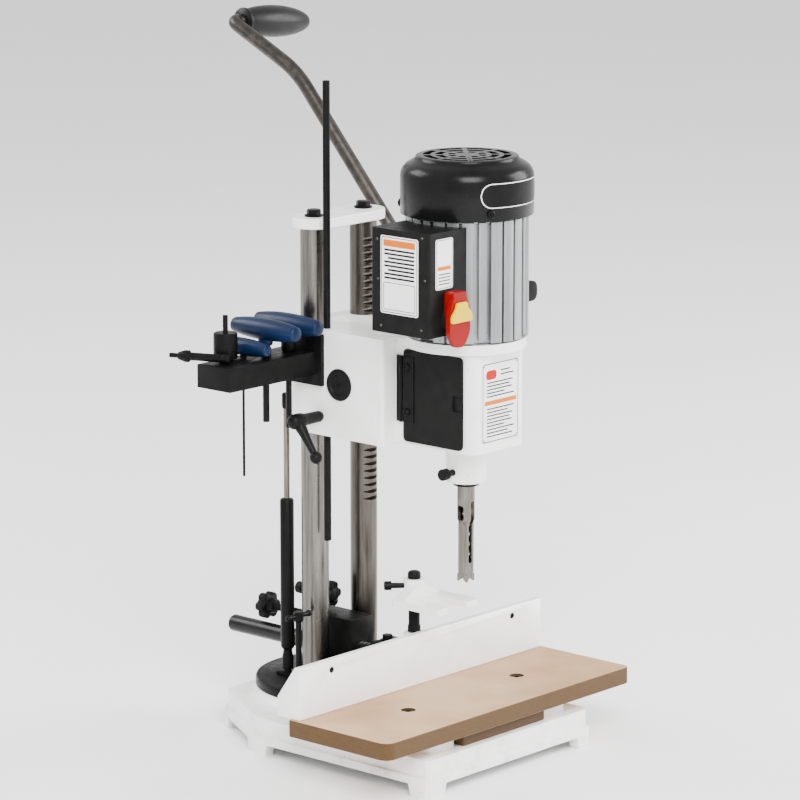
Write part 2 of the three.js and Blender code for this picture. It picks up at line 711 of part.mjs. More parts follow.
function headCasting() {
  const chuckRoom = prismAlongX(roundedRect(-28, 44, 362, 449, 8), -FRONT_HALF_WIDTH - 9, 35);
  const pocketX = [COLUMN_X - POCKET_WIDTH / 2, COLUMN_X + POCKET_WIDTH / 2];
  return cut(
    headShell(),
    ...columnSides.map((x) => upright(
      COLUMN_RADIUS + GAP,
      x,
      COLUMN_Y,
      HEAD_BOTTOM - 1,
      HEAD_TOP + 1,
      COLUMN_SEGMENTS,
    )),
    alongX(PINION_RADIUS + RACK_MODULE + 1.5, pocketX[0], pocketX[1], PINION_Y, PINION_Z, 28),
    alongX(10.4, -HOUSING_HALF_WIDTH + 14, HOUSING_HALF_WIDTH + 1, PINION_Y, PINION_Z),
    alongX(14.5, -HOUSING_HALF_WIDTH - 1, -HOUSING_HALF_WIDTH + 15, PINION_Y, PINION_Z),
    chuckRoom,
    upright(14.3, 0, 0, NOSE_BOTTOM - 1, 346),
    upright(10, 0, 0, 345, 364),
    upright(12, 0, 0, 440, MOTOR_BOTTOM + 1),
    upright(ROD_RADIUS + GAP, ROD_X, ROD_Y, HEAD_BOTTOM - 1, HEAD_TOP + 1),
    alongX(5.3, -HOUSING_HALF_WIDTH - 1, ROD_X, ROD_Y, LEVER_Z),
    alongX(3.9, -NOSE_RADIUS - 2, -10, 0, 324),
  );
}

function gearPlug() {
  const face = -HOUSING_HALF_WIDTH - GAP;
  return layAlongX(turned([
    [0, face - 1.2], [10, face - 1.4], [11, face - 2.6], [15.5, face - 2.6], [17.5, face - 1],
    [17.5, face], [14.2, face], [14.2, face + 9], [12, face + 9], [12, face + 1], [0, face + 1],
  ]));
}

function feedPinion() {
  const gear = prism(gearOutline(PINION_TEETH, RACK_MODULE, 0.5), COLUMN_X - 10, COLUMN_X + 10)
    .rotateZ(Math.PI / 2).rotateY(Math.PI / 2);
  const shaft = alongX(10, -HOUSING_HALF_WIDTH + 15, HANDLE_X - 22, 0, 0);
  return join(gear, shaft).translate(0, PINION_Y, PINION_Z);
}

function handleHub() {
  const inner = HOUSING_HALF_WIDTH + 1;
  const hub = join(
    layAlongX(turned([
      [0, inner], [21, inner], [21, inner + 8], [16, inner + 14], [16, HANDLE_X - 20],
      [19, HANDLE_X - 15], [19, HANDLE_X + 15], [17, HANDLE_X + 17], [0, HANDLE_X + 17],
    ])),
  );
  const socket = upright(HANDLE_RADIUS + GAP, HANDLE_X, 0, 4, 30, 24)
    .rotateX(degrees(HANDLE_ANGLE - 90));
  return cut(
    hub,
    alongX(10 + GAP, inner - 1, HANDLE_X - 21.5, 0, 0),
    socket,
  ).translate(0, PINION_Y, PINION_Z);
}

// handle path in the plane of the arm, as distances out along the arm and across it to the back
function handleArm() {
  const radial = degrees(HANDLE_ANGLE);
  const outer = degrees(HANDLE_ANGLE - 22.6);
  const along = (distance, angle, from) => new THREE.Vector3(
    from.x,
    from.y + distance * Math.cos(angle),
    from.z + distance * Math.sin(angle),
  );
  const hub = new THREE.Vector3(HANDLE_X, PINION_Y, PINION_Z);
  const start = along(5, radial, hub);
  const knee = along(HANDLE_REACH, radial, hub);
  const elbow = along(114, outer, knee);
  const aside = new THREE.Vector3(1, 0, 0).applyAxisAngle(
    new THREE.Vector3(0, 1, 0),
    degrees(GRIP_TILT),
  );
  const tip = elbow.clone().addScaledVector(aside, 16);
  const path = new THREE.CurvePath();
  const kneeIn = along(-24, radial, knee);
  const kneeOut = along(24, outer, knee);
  const elbowIn = along(-13, outer, elbow);
  const elbowOut = elbow.clone().addScaledVector(aside, 13);
  path.add(new THREE.LineCurve3(start, kneeIn));
  path.add(new THREE.QuadraticBezierCurve3(kneeIn, knee, kneeOut));
  path.add(new THREE.LineCurve3(kneeOut, elbowIn));
  path.add(new THREE.QuadraticBezierCurve3(elbowIn, elbow, elbowOut));
  path.add(new THREE.LineCurve3(elbowOut, tip));
  return { path, elbow };
}

// round bar of the given radius swept along a path
function sweptBar(path, radius, steps, curveSegments) {
  const section = new THREE.Shape();
  section.absarc(0, 0, radius, 0, 2 * Math.PI, false);
  const options = { extrudePath: path, steps, bevelEnabled: false, curveSegments };
  return new THREE.ExtrudeGeometry(section, options);
}

function handleBar() {
  const { path, elbow } = handleArm();
  const spindle = alongX(5, 13, 120, 0, 0).rotateY(degrees(GRIP_TILT)).translate(...elbow);
  return join(sweptBar(path, HANDLE_RADIUS, 28, 5), spindle);
}

function handleGrip() {
  const { elbow } = handleArm();
  const start = 18;
  const length = 108;
  const profile = [[5 + GAP, start], [15.4, start], [15.4, start + 3], [13, start + 3.4]];
  const steps = 9;
  for (let i = 1; i < steps; i += 1) {
    const t = i / steps;
    const radius = 18.8 * Math.sqrt(1 - ((t - 0.44) / 0.6) ** 2);
    profile.push([radius, start + 3 + (length - 3) * t]);
  }
  profile.push([6.5, start + length - 0.5], [5 + GAP, start + length], [5 + GAP, start]);
  return layAlongX(turned(profile, 20)).rotateY(degrees(GRIP_TILT)).translate(...elbow);
}

function buildFeed() {
  add('feed_pinion', feedPinion(), GROUND_STEEL);
  add('handle_hub', handleHub(), DARK_STEEL);
  add('handle_arm', handleBar(), DARK_STEEL);
  add('handle_grip', handleGrip(), BLACK_PLASTIC);
}

// ---------------------------------------------------------------- depth stop
function depthLockLever() {
  const outer = -HOUSING_HALF_WIDTH - 47;
  const hub = layAlongX(turned([
    [0, outer], [5.5, outer], [8, outer + 3], [8.5, outer + 16], [7, outer + 22], [6.2, outer + 44],
    [5, outer + 46.5], [5, -ROD_RADIUS + ROD_X - 0.5], [0, -ROD_RADIUS + ROD_X - 0.5],
  ])).translate(0, ROD_Y, LEVER_Z);
  const ball = new THREE.Vector3(outer + 12, ROD_Y - 25.6, LEVER_Z - 36.5);
  const root = new THREE.Vector3(outer + 11, ROD_Y - 3, LEVER_Z - 4);
  const arm = sweptBar(new THREE.LineCurve3(root, ball), 4, 1, 5);
  const knob = new THREE.SphereGeometry(6.8, 12, 8).translate(ball.x, ball.y, ball.z);
  return join(hub, arm, knob);
}

// ---------------------------------------------------------------- tool holder and stowed tools
const LARGE_KEY_X = -121.5;
const MEDIUM_KEY_X = -86;
const SMALL_KEY_X = -144;
const BUSHING_X = -171;
const REAR_ROW_Y = 191;               // small tools stand behind the two large keys

function toolHolder() {
  const face = -HOUSING_HALF_WIDTH - GAP;
  const body = join(
    box(HOLDER_LEFT, face - 1, HOLDER_FRONT, HOLDER_BACK, HOLDER_BOTTOM, HOLDER_TOP),
    box(face - 5, face, 146, 196, 405, 461.5),
  );
  const hole = (x, y, r) => upright(r, x, y, HOLDER_BOTTOM - 1, HOLDER_TOP + 1);
  return cut(
    body,
    hole(LARGE_KEY_X, HOLDER_Y, 4.2),
    hole(MEDIUM_KEY_X, HOLDER_Y, 4.2),
    hole(SMALL_KEY_X, REAR_ROW_Y, 1.9),
    hole(BUSHING_X, REAR_ROW_Y, 3.4),
  );
}

// soft barrel-shaped bar with flat ends, along Y
function keyHandle(length, radius) {
  const half = length / 2;
  return layAlongY(turned([
    [0, -half], [radius * 0.55, -half], [radius * 0.68, -half + 2], [radius * 0.9, -half * 0.5],
    [radius, 0], [radius * 0.9, half * 0.5], [radius * 0.68, half - 2], [radius * 0.55, half],
    [0, half],
  ]));
}

function addHexKey(name, { x, y, z, length, radius, flats, bottom, sleeved }) {
  const handle = cut(
    keyHandle(length, radius).translate(x, y, z),
    upright(flats * 0.62 + GAP, x, y, z - radius - 2, z),
  );
  add(`${name}_handle`, handle, BLUE_PLASTIC);
  const seat = HOLDER_TOP + GAP;
  const rod = prism(hexagon(flats), bottom, z - 1).translate(x, y, 0);
  const stop = upright(flats / 2 + 2.5, x, y, seat, Math.min(seat + 4, z - radius - GAP));
  const sleeve = upright(flats / 2 + 1.8, x, y, seat + 2, z - radius * 0.9 - 1.5);
  add(`${name}_shaft`, join(rod, stop, ...(sleeved ? [sleeve] : [])), BLACK_OXIDE);
}

function spareBushing() {
  const seat = HOLDER_TOP + GAP;
  return turned([
    [0, HOLDER_BOTTOM + 2], [2.9, HOLDER_BOTTOM + 2], [2.9, seat], [8, seat], [8, seat + 2.5],
    [13, seat + 3.5], [13, seat + 30], [11.5, seat + 31], [2.8, seat + 31], [2.8, 492], [0, 492],
  ]).translate(BUSHING_X, REAR_ROW_Y, 0);
}

function chuckKey() {
  const key = turned([
    [0, -38], [2.6, -37], [2.6, -28], [4, -27], [6.6, -19], [6.6, -15], [4.4, -13],
    [4.4, 24], [5.2, 25], [5.2, 31], [4, 32], [0, 32],
  ]);
  return layAlongY(key.rotateZ(Math.PI)).rotateZ(degrees(202.6))
    .translate(-196.4, 200.9, HOLDER_TOP + 6.9);
}

function buildToolHolder() {
  add('tool_holder', toolHolder(), BLACK_OXIDE);
  addHexKey('large_key', {
    x: LARGE_KEY_X, y: HOLDER_Y, z: 471, length: 92, radius: 11.9, flats: 6.5,
    bottom: 370, sleeved: true,
  });
  addHexKey('medium_key', {
    x: MEDIUM_KEY_X, y: HOLDER_Y, z: 472, length: 91, radius: 11.7, flats: 6,
    bottom: 358, sleeved: true,
  });
  addHexKey('small_key', {
    x: SMALL_KEY_X, y: REAR_ROW_Y, z: 454, length: 74, radius: 9.5, flats: 2.6,
    bottom: 312, sleeved: false,
  });
  add('spare_bushing', spareBushing(), BLACK_OXIDE);
  add('chuck_key', chuckKey(), BLACK_OXIDE);
}

// ---------------------------------------------------------------- access door
const DOOR_FACE = -FRONT_HALF_WIDTH - GAP - 3.7;
const HINGE_Y = 52.4;
const HINGE_X = DOOR_FACE + 0.6;

function accessDoor() {
  const inner = -FRONT_HALF_WIDTH - GAP;
  const panel = prismAlongX(roundedRect(-35, 49.4, 355.5, 456, 6), DOOR_FACE, inner);
  const finger = prismAlongX(roundedRect(-37, -22, 397, 414, 3), DOOR_FACE - 1, DOOR_FACE + 2.2);
  return cut(panel, finger);
}

function doorHinge() {
  const leaf = -FRONT_HALF_WIDTH - GAP;
  return join(
    upright(1.9, HINGE_X, HINGE_Y, 376, 448),
    box(leaf - 1.6, leaf, HINGE_Y, 60, 376, 448),
    box(HINGE_X - 0.6, leaf, HINGE_Y - 0.4, HINGE_Y + 1.6, 376, 448),
  );
}

// ---------------------------------------------------------------- motor and spindle
function finnedOutline(root, tip, fins) {
  const points = [];
  const width = 2.6;
  for (let i = 0; i < fins; i += 1) {
    const centre = i * 2 * Math.PI / fins;
    const rootHalf = width * 0.7 / root;
    const tipHalf = width * 0.42 / tip;
    points.push([root, centre - rootHalf], [tip, centre - tipHalf]);
    points.push([tip, centre + tipHalf], [root, centre + rootHalf]);
  }
  return polygon(points.map(([r, a]) => [r * Math.cos(a), r * Math.sin(a)]));
}

function motorBody() {
  const body = join(
    prism(finnedOutline(59, MOTOR_RADIUS, 26), MOTOR_BOTTOM + 9, MOTOR_TOP - 3),
    upright(MOTOR_RADIUS, 0, 0, MOTOR_BOTTOM, MOTOR_BOTTOM + 10, 26),
    upright(MOTOR_RADIUS - 4, 0, 0, MOTOR_TOP - 4, MOTOR_TOP, 26),
  );
  return cut(
    body,
    upright(55, 0, 0, MOTOR_BOTTOM + 8, MOTOR_TOP + 1, 24),
    upright(9, 0, 0, MOTOR_BOTTOM - 1, MOTOR_BOTTOM + 9),
  );
}

function stator() {
  return turned([[40, 500], [53.6, 500], [53.6, 585], [40, 585], [40, 500]], 20);
}

function motorShaft() {
  return turned([
    [0, 424], [7.6, 424], [7.6, 503], [38.5, 503], [38.5, 582], [7.6, 582], [7.6, 634], [6, 636],
    [0, 636],
  ]);
}

function coolingFan() {
  const blades = [];
  const count = 9;
  for (let i = 0; i < count; i += 1) {
    const blade = box(9, 58, -1, 1, 609, 634);
    blades.push(blade.rotateZ(i * 2 * Math.PI / count));
  }
  const hub = join(
    turned([[0, 606], [58, 606], [58, 609.5], [16, 610], [13, 632], [0, 632]]),
    ...blades,
  );
  return cut(hub, upright(7.6 + GAP, 0, 0, 600, 640, 24));
}

function grilleSlot(r0, r1, start, sweep) {
  const shape = new THREE.Shape();
  shape.absarc(0, 0, r1, start, start + sweep, false);
  shape.absarc(0, 0, r0, start + sweep, start, true);
  shape.closePath();
  return prism(shape, COVER_TOP - 8, COVER_TOP + 2, 1);
}

function fanCover() {
  const r = COVER_RADIUS;
  const wall = 2;
  const shell = turned([
    [r - wall, COVER_BOTTOM], [r, COVER_BOTTOM], [r, COVER_TOP - 20],
    [r - 6, COVER_TOP - 9], [56, COVER_TOP - 4.5], [54, COVER_TOP], [0, COVER_TOP],
    [0, COVER_TOP - wall], [53, COVER_TOP - wall], [r - wall - 6, COVER_TOP - 11],
    [r - wall, COVER_TOP - 21], [r - wall, COVER_BOTTOM],
  ], 30);
  const slots = [];
  const sectors = 8;
  const sweep = 2 * Math.PI / sectors;
  for (const [r0, r1] of [[13, 21], [26, 34], [39, 47]]) {
    const spoke = 4.5 / r0;
    for (let i = 0; i < sectors; i += 1) {
      slots.push(grilleSlot(r0, r1, i * sweep + spoke / 2, sweep - spoke));
    }
  }
  return cut(shell, ...slots);
}

function drillChuck() {
  const body = turned([
    [0, 386], [8, 386], [16, 404], [18, 408], [18, 436], [0, 436],
  ]);
  return cut(body, upright(7.6 + GAP, 0, 0, 423.5, 440), upright(4.8 + GAP, 0, 0, 380, 415));
}

// two-lobed bar twisted about Z, with a plain shank above it
function augerBit() {
  const section = new THREE.Shape();
  section.absellipse(0, 0, 4.6, 1.9, 0, 2 * Math.PI, false, 0);
  const [bottom, top] = [202.5, 300];
  const steps = 48;
  const twist = 2 * Math.PI * 4.5 / (top - bottom);
  const flute = new THREE.ExtrudeGeometry(section, {
    depth: top - bottom, steps, bevelEnabled: false, curveSegments: 2,
  });
  const position = flute.attributes.position;
  for (let i = 0; i < position.count; i += 1) {
    const angle = position.getZ(i) * twist;
    const [x, y] = [position.getX(i), position.getY(i)];
    position.setX(i, x * Math.cos(angle) - y * Math.sin(angle));
    position.setY(i, x * Math.sin(angle) + y * Math.cos(angle));
  }
  flute.translate(0, 0, bottom);
  const shank = upright(4.7, 0, 0, top - 4, 412);
  return join(flute, shank);
}

function hollowChisel() {
  const half = 6.1;
  const tipHalf = 6.7;
  const [tip, shoulder, blade] = [201, 209, 268.5];
  const square = (size, z0, z1) => prism(roundedRect(-size, size, -size, size, 0.9), z0, z1, 1);
  const flare = new ConvexGeometry([-1, 1].flatMap((sx) => [-1, 1].flatMap((sy) => [
    new THREE.Vector3(sx * tipHalf, sy * tipHalf, tip),
    new THREE.Vector3(sx * tipHalf, sy * tipHalf, tip + 4),
    new THREE.Vector3(sx * half, sy * half, shoulder + 1),
  ])));
  const body = join(
    square(half, shoulder, blade + 2),
    flare,
    turned([[0, blade - 6], [half, blade - 6], [9.5, blade + 1], [9.5, 336], [0, 336]]),
  );
  const notch = polygon([[-tipHalf + 0.7, tip - 1], [tipHalf - 0.7, tip - 1], [0, tip + 5]]);
  return cut(
    body,
    upright(5.2, 0, 0, tip - 2, 340),
    prismAlongY(notch, -12, 12),
    prismAlongX(notch, -12, 12),
    prismAlongY(roundedRect(-2.6, 2.6, 221, 290, 2.5), -12, 0),
    prismAlongX(roundedRect(-4, 4, 269, 285, 3), -12, 0),
  );
}

function chiselBushing() {
  return turned([
    [9.8, 307.4], [14.2, 307.4], [14.2, NOSE_BOTTOM - GAP], [13.9, NOSE_BOTTOM - GAP], [13.9, 344],
    [9.8, 344], [9.8, 307.4],
  ]);
}

function chiselScrew() {
  const screw = layAlongX(turned([
    [0, -40], [3.4, -40], [6.2, -38.5], [6.2, -29], [4, -27], [3.5, -26], [3.5, -14.5], [0, -14.5],
  ]));
  return screw.translate(0, 0, 324);
}

function buildSpindle() {
  add('motor_shaft', motorShaft(), GROUND_STEEL);
  add('cooling_fan', coolingFan(), BLACK_PLASTIC);
  add('drill_chuck', drillChuck(), GROUND_STEEL);
  add('auger_bit', augerBit(), GROUND_STEEL);
}

function buildMotor() {
  add('motor_body', motorBody(), ALUMINIUM);
  add('stator', stator(), DARK_STEEL);
  add('fan_cover', fanCover(), BLACK_PLASTIC);
}

// ---------------------------------------------------------------- switch and cord inlet
const PADDLE_X = -77;

function switchBox() {
  const outline = roundedRect(BOX_LEFT, BOX_RIGHT, BOX_FRONT, BOX_BACK, 4);
  const body = prism(outline, BOX_BOTTOM, BOX_TOP);
  const recess = box(PADDLE_X - 14, PADDLE_X + 14, BOX_FRONT - 1, BOX_FRONT + 8, 494, 522);
  return cut(body, upright(MOTOR_RADIUS + 0.5, 0, 0, BOX_BOTTOM - 1, BOX_TOP + 1, 40), recess);
}

function switchPaddle() {
  const front = BOX_FRONT - GAP;
  const oval = roundedPolygon([
    [-10, 529], [10, 529], [16, 514], [16, 490], [7, 475.5], [-7, 475.5], [-16, 490], [-16, 514],
  ].map(([x, z]) => [PADDLE_X + x, z]), 4);
  const flap = prismAlongY(oval, front - 13, front - 7);
  const neck = box(PADDLE_X - 10, PADDLE_X + 10, front - 12.6, front, 506, 534);
  const keyway = box(PADDLE_X - 7.4, PADDLE_X + 7.4, front - 20, front - 4, 507.6, 521.4);
  return cut(join(flap, neck), keyway);
}

function safetyKey() {
  const front = BOX_FRONT - GAP;
  const plate = roundedPolygon([
    [-8, 523.5], [8, 523.5], [9, 518], [16, 510], [16, 502.5], [-16, 502.5], [-16, 510], [-9, 518],
  ].map(([x, z]) => [PADDLE_X + x, z]), 2);
  return join(
    box(PADDLE_X - 7, PADDLE_X + 7, front - 14, front - 4.4, 508, 521),
    prismAlongY(plate, front - 16.6, front - 13 - GAP),
  );
}

function terminalBox() {
  const body = prismAlongY(roundedRect(60, 92, 498, 520, 9), -21, 21, 4);
  return cut(
    body,
    upright(MOTOR_RADIUS + 0.5, 0, 0, 490, 530, 40),
    alongY(5.4, 80, 12, 24, 509),
  );
}

function cordGland() {
  return layAlongY(turned([
    [3.6, 13], [5, 13], [5, 21.3], [8, 21.3], [8, 27], [6.5, 28], [6, 33], [3.6, 33], [3.6, 13],
  ]).rotateZ(Math.PI)).translate(80, 0, 509);
}

// ---------------------------------------------------------------- assembly
add('base_casting', baseCasting(), WHITE_PAINT);
add('table_board', tableBoard(), FIBREBOARD);
add('board_batten', boardBatten(), FIBREBOARD);
add('board_screw_left', boardScrew(-1), BLACK_OXIDE);
add('board_screw_right', boardScrew(1), BLACK_OXIDE);
buildColumns();
buildFenceControls();
add('swivel_lock', swivelLock(), BLACK_OXIDE);
buildGasSpring();
add('fence_bar', fenceBar(), DARK_STEEL);
add('fence_bracket', fenceBracket(), BLACK_OXIDE);
add('fence', fence(), WHITE_PAINT);
add('hold_down_post', holdDownPost(), BLACK_OXIDE);
add('hold_down_fork', holdDownFork(), WHITE_PAINT);
add('hold_down_bolt', holdDownBolt(), BLACK_OXIDE);
add('head_casting', headCasting(), WHITE_PAINT);
add('gear_plug', gearPlug().translate(0, PINION_Y, PINION_Z), BLACK_PLASTIC);
buildFeed();
add('depth_rod', upright(ROD_RADIUS, ROD_X, ROD_Y, 230.5, 734.5), BLACK_OXIDE);
add('depth_lock_lever', depthLockLever(), BLACK_OXIDE);
buildToolHolder();
add('access_door', accessDoor(), BLACK_PLASTIC);
add('door_hinge', doorHinge(), BLACK_OXIDE);
buildMotor();
buildSpindle();
add('hollow_chisel', hollowChisel(), GROUND_STEEL);
add('chisel_bushing', chiselBushing(), BLACK_OXIDE);
add('chisel_screw', chiselScrew(), BLACK_OXIDE);
add('switch_box', switchBox(), BLACK_PLASTIC);
add('switch_paddle', switchPaddle(), RED_PLASTIC);
add('safety_key', safetyKey(), YELLOW_PLASTIC);
add('terminal_box', terminalBox(), BLACK_PLASTIC);
add('cord_gland', cordGland(), BLACK_PLASTIC);

const bounds = new THREE.Box3().setFromObject(machine);
const middle = bounds.getCenter(new THREE.Vector3());
machine.position.set(-middle.x, -middle.y, -bounds.min.z);
machine.updateMatrixWorld(true);

export default machine;
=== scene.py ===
"""Looks of a benchtop hollow-chisel mortising machine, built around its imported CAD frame.

Shapes are drawn in millimetres about the spindle axis (X right, Y back, Z up, feet on Z = 0) and
turned into metres in the frame's own place when a mesh is made. Places come from the CAD nodes.
"""

import json
import math

import bmesh
import bpy
from mathutils import Matrix, Vector


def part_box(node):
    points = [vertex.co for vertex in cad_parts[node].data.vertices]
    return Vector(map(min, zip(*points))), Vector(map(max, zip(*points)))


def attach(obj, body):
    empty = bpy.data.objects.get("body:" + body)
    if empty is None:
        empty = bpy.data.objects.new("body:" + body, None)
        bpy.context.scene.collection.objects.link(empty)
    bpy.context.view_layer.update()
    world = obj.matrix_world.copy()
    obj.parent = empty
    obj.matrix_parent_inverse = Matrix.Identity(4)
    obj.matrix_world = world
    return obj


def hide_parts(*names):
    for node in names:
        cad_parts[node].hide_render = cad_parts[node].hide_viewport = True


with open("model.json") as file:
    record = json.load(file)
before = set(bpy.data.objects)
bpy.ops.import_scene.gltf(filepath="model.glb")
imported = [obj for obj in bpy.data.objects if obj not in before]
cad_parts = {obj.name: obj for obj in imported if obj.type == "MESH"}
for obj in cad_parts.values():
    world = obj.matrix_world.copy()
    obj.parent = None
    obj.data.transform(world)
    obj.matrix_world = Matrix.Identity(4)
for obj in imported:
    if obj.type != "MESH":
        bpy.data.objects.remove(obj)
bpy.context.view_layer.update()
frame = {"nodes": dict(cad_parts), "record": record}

MM = 0.001
RECORD = frame["record"]
BODY_OF = {node: body for body, nodes in RECORD["behaviour"]["bodies"].items() for node in nodes}
SHAFT_LOW, SHAFT_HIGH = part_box("motor_shaft")
ORIGIN = Vector(((SHAFT_LOW.x + SHAFT_HIGH.x) / 2, (SHAFT_LOW.y + SHAFT_HIGH.y) / 2, 0))
FINE = 96                        # facets round a large turned piece
MEDIUM = 48                      # and round a small one
INK = 0.12                       # how far printing stands off a label
HEAD_FRONT = -47                 # Y of the head's flat front
GAS_STUD_DROP = 9                # from the top of the gas rod down to its stud


class Span:
    """A CAD node's box in millimetres about the spindle axis."""

    def __init__(self, node):
        low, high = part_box(node)
        self.x0, self.y0, self.z0 = (low - ORIGIN) / MM
        self.x1, self.y1, self.z1 = (high - ORIGIN) / MM
        self.x = (self.x0 + self.x1) / 2
        self.y = (self.y0 + self.y1) / 2
        self.z = (self.z0 + self.z1) / 2


# ---- mesh making
def place(name, data):
    """A new object in the scene."""
    obj = bpy.data.objects.new(name, data)
    bpy.context.scene.collection.objects.link(obj)
    return obj


def make(name, verts, faces):
    """A mesh object from corners in millimetres, its faces turned outwards."""
    mesh = bpy.data.meshes.new(name)
    mesh.from_pydata([ORIGIN + Vector(v) * MM for v in verts], [], faces)
    obj = place(name, mesh)
    work = bmesh.new()
    work.from_mesh(mesh)
    bmesh.ops.recalc_face_normals(work, faces=work.faces)
    work.to_mesh(mesh)
    work.free()
    return obj


def on_axis(axis, u, v, h):
    """A point at height h along an axis: u, v are the other two coordinates in X, Y, Z order."""
    return {"X": (h, u, v), "Y": (u, h, v), "Z": (u, v, h)}[axis]


def lathe(name, profile, centre=(0, 0, 0), axis="Z", segments=FINE, closed=False):
    """Turned piece from (radius, height) pairs; closed joins the last ring to the first."""
    rings, verts, faces = [], [], []
    for radius, height in profile:
        count = 1 if radius < 1e-6 else segments
        rings.append(range(len(verts), len(verts) + count))
        for i in range(count):
            angle = 2 * math.pi * i / segments
            point = on_axis(axis, radius * math.cos(angle), radius * math.sin(angle), height)
            verts.append([p + c for p, c in zip(point, centre)])
    pairs = list(zip(rings, rings[1:]))
    if closed:
        pairs.append((rings[-1], rings[0]))
    for low, high in pairs:
        if len(low) + len(high) == 2:
            continue
        for i in range(segments):
            j = (i + 1) % segments
            if len(low) == 1:
                faces.append((low[0], high[j], high[i]))
            elif len(high) == 1:
                faces.append((low[i], low[j], high[0]))
            else:
                faces.append((low[i], low[j], high[j], high[i]))
    return make(name, verts, faces)


def cylinder(name, radius, low, high, centre=(0, 0, 0), axis="Z", segments=FINE):
    return lathe(name, [(0, low), (radius, low), (radius, high), (0, high)], centre, axis, segments)


def extrude(name, outline, low, high, axis="Z"):
    """Prism of an outline between two heights along an axis."""
    count = len(outline)
    verts = [on_axis(axis, u, v, h) for h in (low, high) for u, v in outline]
    faces = [(i, (i + 1) % count, (i + 1) % count + count, i + count) for i in range(count)]
    faces += [tuple(range(count)), tuple(range(count, 2 * count))]
    return make(name, verts, faces)


def block(name, x0, x1, y0, y1, z0, z1):
    return extrude(name, [(x0, y0), (x1, y0), (x1, y1), (x0, y1)], z0, z1)


def sweep(name, points, radii, sides):
    """Round bar along points, with one radius for each point, and flat ends."""
    verts, faces = [], []
    across = None
    for i, (point, radius) in enumerate(zip(points, radii)):
        ahead = (points[min(i + 1, len(points) - 1)] - points[max(i - 1, 0)]).normalized()
        if across is None:
            across = ahead.orthogonal().normalized()
        across = (across - ahead * across.dot(ahead)).normalized()
        other = ahead.cross(across)
        for k in range(sides):
            angle = 2 * math.pi * k / sides
            verts.append(point + (across * math.cos(angle) + other * math.sin(angle)) * radius)
    for i in range(len(points) - 1):
        for k in range(sides):
            a, b = i * sides + k, i * sides + (k + 1) % sides
            faces.append((a, b, b + sides, a + sides))
    last = (len(points) - 1) * sides
    faces += [tuple(range(sides)), tuple(range(last, last + sides))]
    return make(name, verts, faces)


def ball(name, centre, radius):
    steps = 24
    profile = []
    for i in range(steps + 1):
        angle = math.pi * (i / steps - 0.5)
        profile.append((radius * math.cos(angle), radius * math.sin(angle)))
    profile[0] = (0, -radius)
    profile[-1] = (0, radius)
    return lathe(name, profile, centre, segments=MEDIUM)


def combine(obj, tools, operation):
    """Joins or cuts obj with the tools, which are used up."""
    for tool in tools:
        modifier = obj.modifiers.new(operation, "BOOLEAN")
        modifier.object = tool
        modifier.operation = operation
        modifier.solver = "EXACT"
    bpy.context.view_layer.update()
    result = bpy.data.meshes.new_from_object(obj.evaluated_get(bpy.context.evaluated_depsgraph_get()))
    obj.modifiers.clear()
    obj.data = result
    for tool in tools:
        bpy.data.objects.remove(tool)
    return obj


def join(obj, *tools):
    return combine(obj, tools, "UNION")


def cut(obj, *tools):
    return combine(obj, tools, "DIFFERENCE")


def gather(name, objects):
    """One object holding the meshes of several that don't need a boolean join."""
    work = bmesh.new()
    for obj in objects:
        work.from_mesh(obj.data)
        bpy.data.objects.remove(obj)
    mesh = bpy.data.meshes.new(name)
    work.to_mesh(mesh)
    work.free()
    return place(name, mesh)


def turn(obj, angle, axis, centre):
    """Turns a mesh by degrees about an axis through a point in millimetres."""
    pivot = ORIGIN + Vector(centre) * MM
    rotation = Matrix.Rotation(math.radians(angle), 4, axis)
    obj.data.transform(Matrix.Translation(pivot) @ rotation @ Matrix.Translation(-pivot))
    return obj


# ---- outlines
def bend(start, corner, end, steps):
    """Points on the curve that leaves start towards a corner and comes from it to end."""
    points = []
    for i in range(steps + 1):
        t = i / steps
        points.append(start * (1 - t) ** 2 + corner * 2 * t * (1 - t) + end * t ** 2)
    return points


def rounded(points, radius=0.0, steps=8):
    """Polygon with corners curved from radius away, or from a corner's own third number."""
    outline = []
    for i, point in enumerate(points):
        corner = Vector(point[:2])
        before = Vector(points[i - 1][:2])
        after = Vector(points[(i + 1) % len(points)][:2])
        size = point[2] if len(point) > 2 else radius
        start = corner + (before - corner).normalized() * size
        end = corner + (after - corner).normalized() * size
        outline += [tuple(p) for p in bend(start, corner, end, steps)]
    return outline


def rectangle(u0, u1, v0, v1, radius, steps=8):
    return rounded([(u0, v0), (u1, v0), (u1, v1), (u0, v1)], radius, steps)


def arc(centre, radius, start, end, steps):
    """Points from start to end degrees round a centre."""
    points = []
    for i in range(steps + 1):
        angle = math.radians(start + (end - start) * i / steps)
        points.append((centre[0] + radius * math.cos(angle), centre[1] + radius * math.sin(angle)))
    return points


def stadium(x0, x1, y, radius, steps=24):
    """Two half circles whose straight sides run along the first coordinate."""
    return (arc((x1 - radius, y), radius, -90, 90, steps)
            + arc((x0 + radius, y), radius, 90, 270, steps))


def hexagon(flats, centre=(0, 0)):
    radius = flats / math.sqrt(3)
    return arc(centre, radius, 0, 300, 5)


def lobed(radius, depth, count, centre, steps=16):
    """Star knob outline: count round lobes with narrow hollows between them."""
    outline = []
    for i in range(count * steps):
        angle = 2 * math.pi * i / (count * steps)
        hollow = (0.5 - 0.5 * math.cos(count * angle)) ** 2
        r = radius - depth * hollow
        outline.append((centre[0] + r * math.cos(angle), centre[1] + r * math.sin(angle)))
    return outline


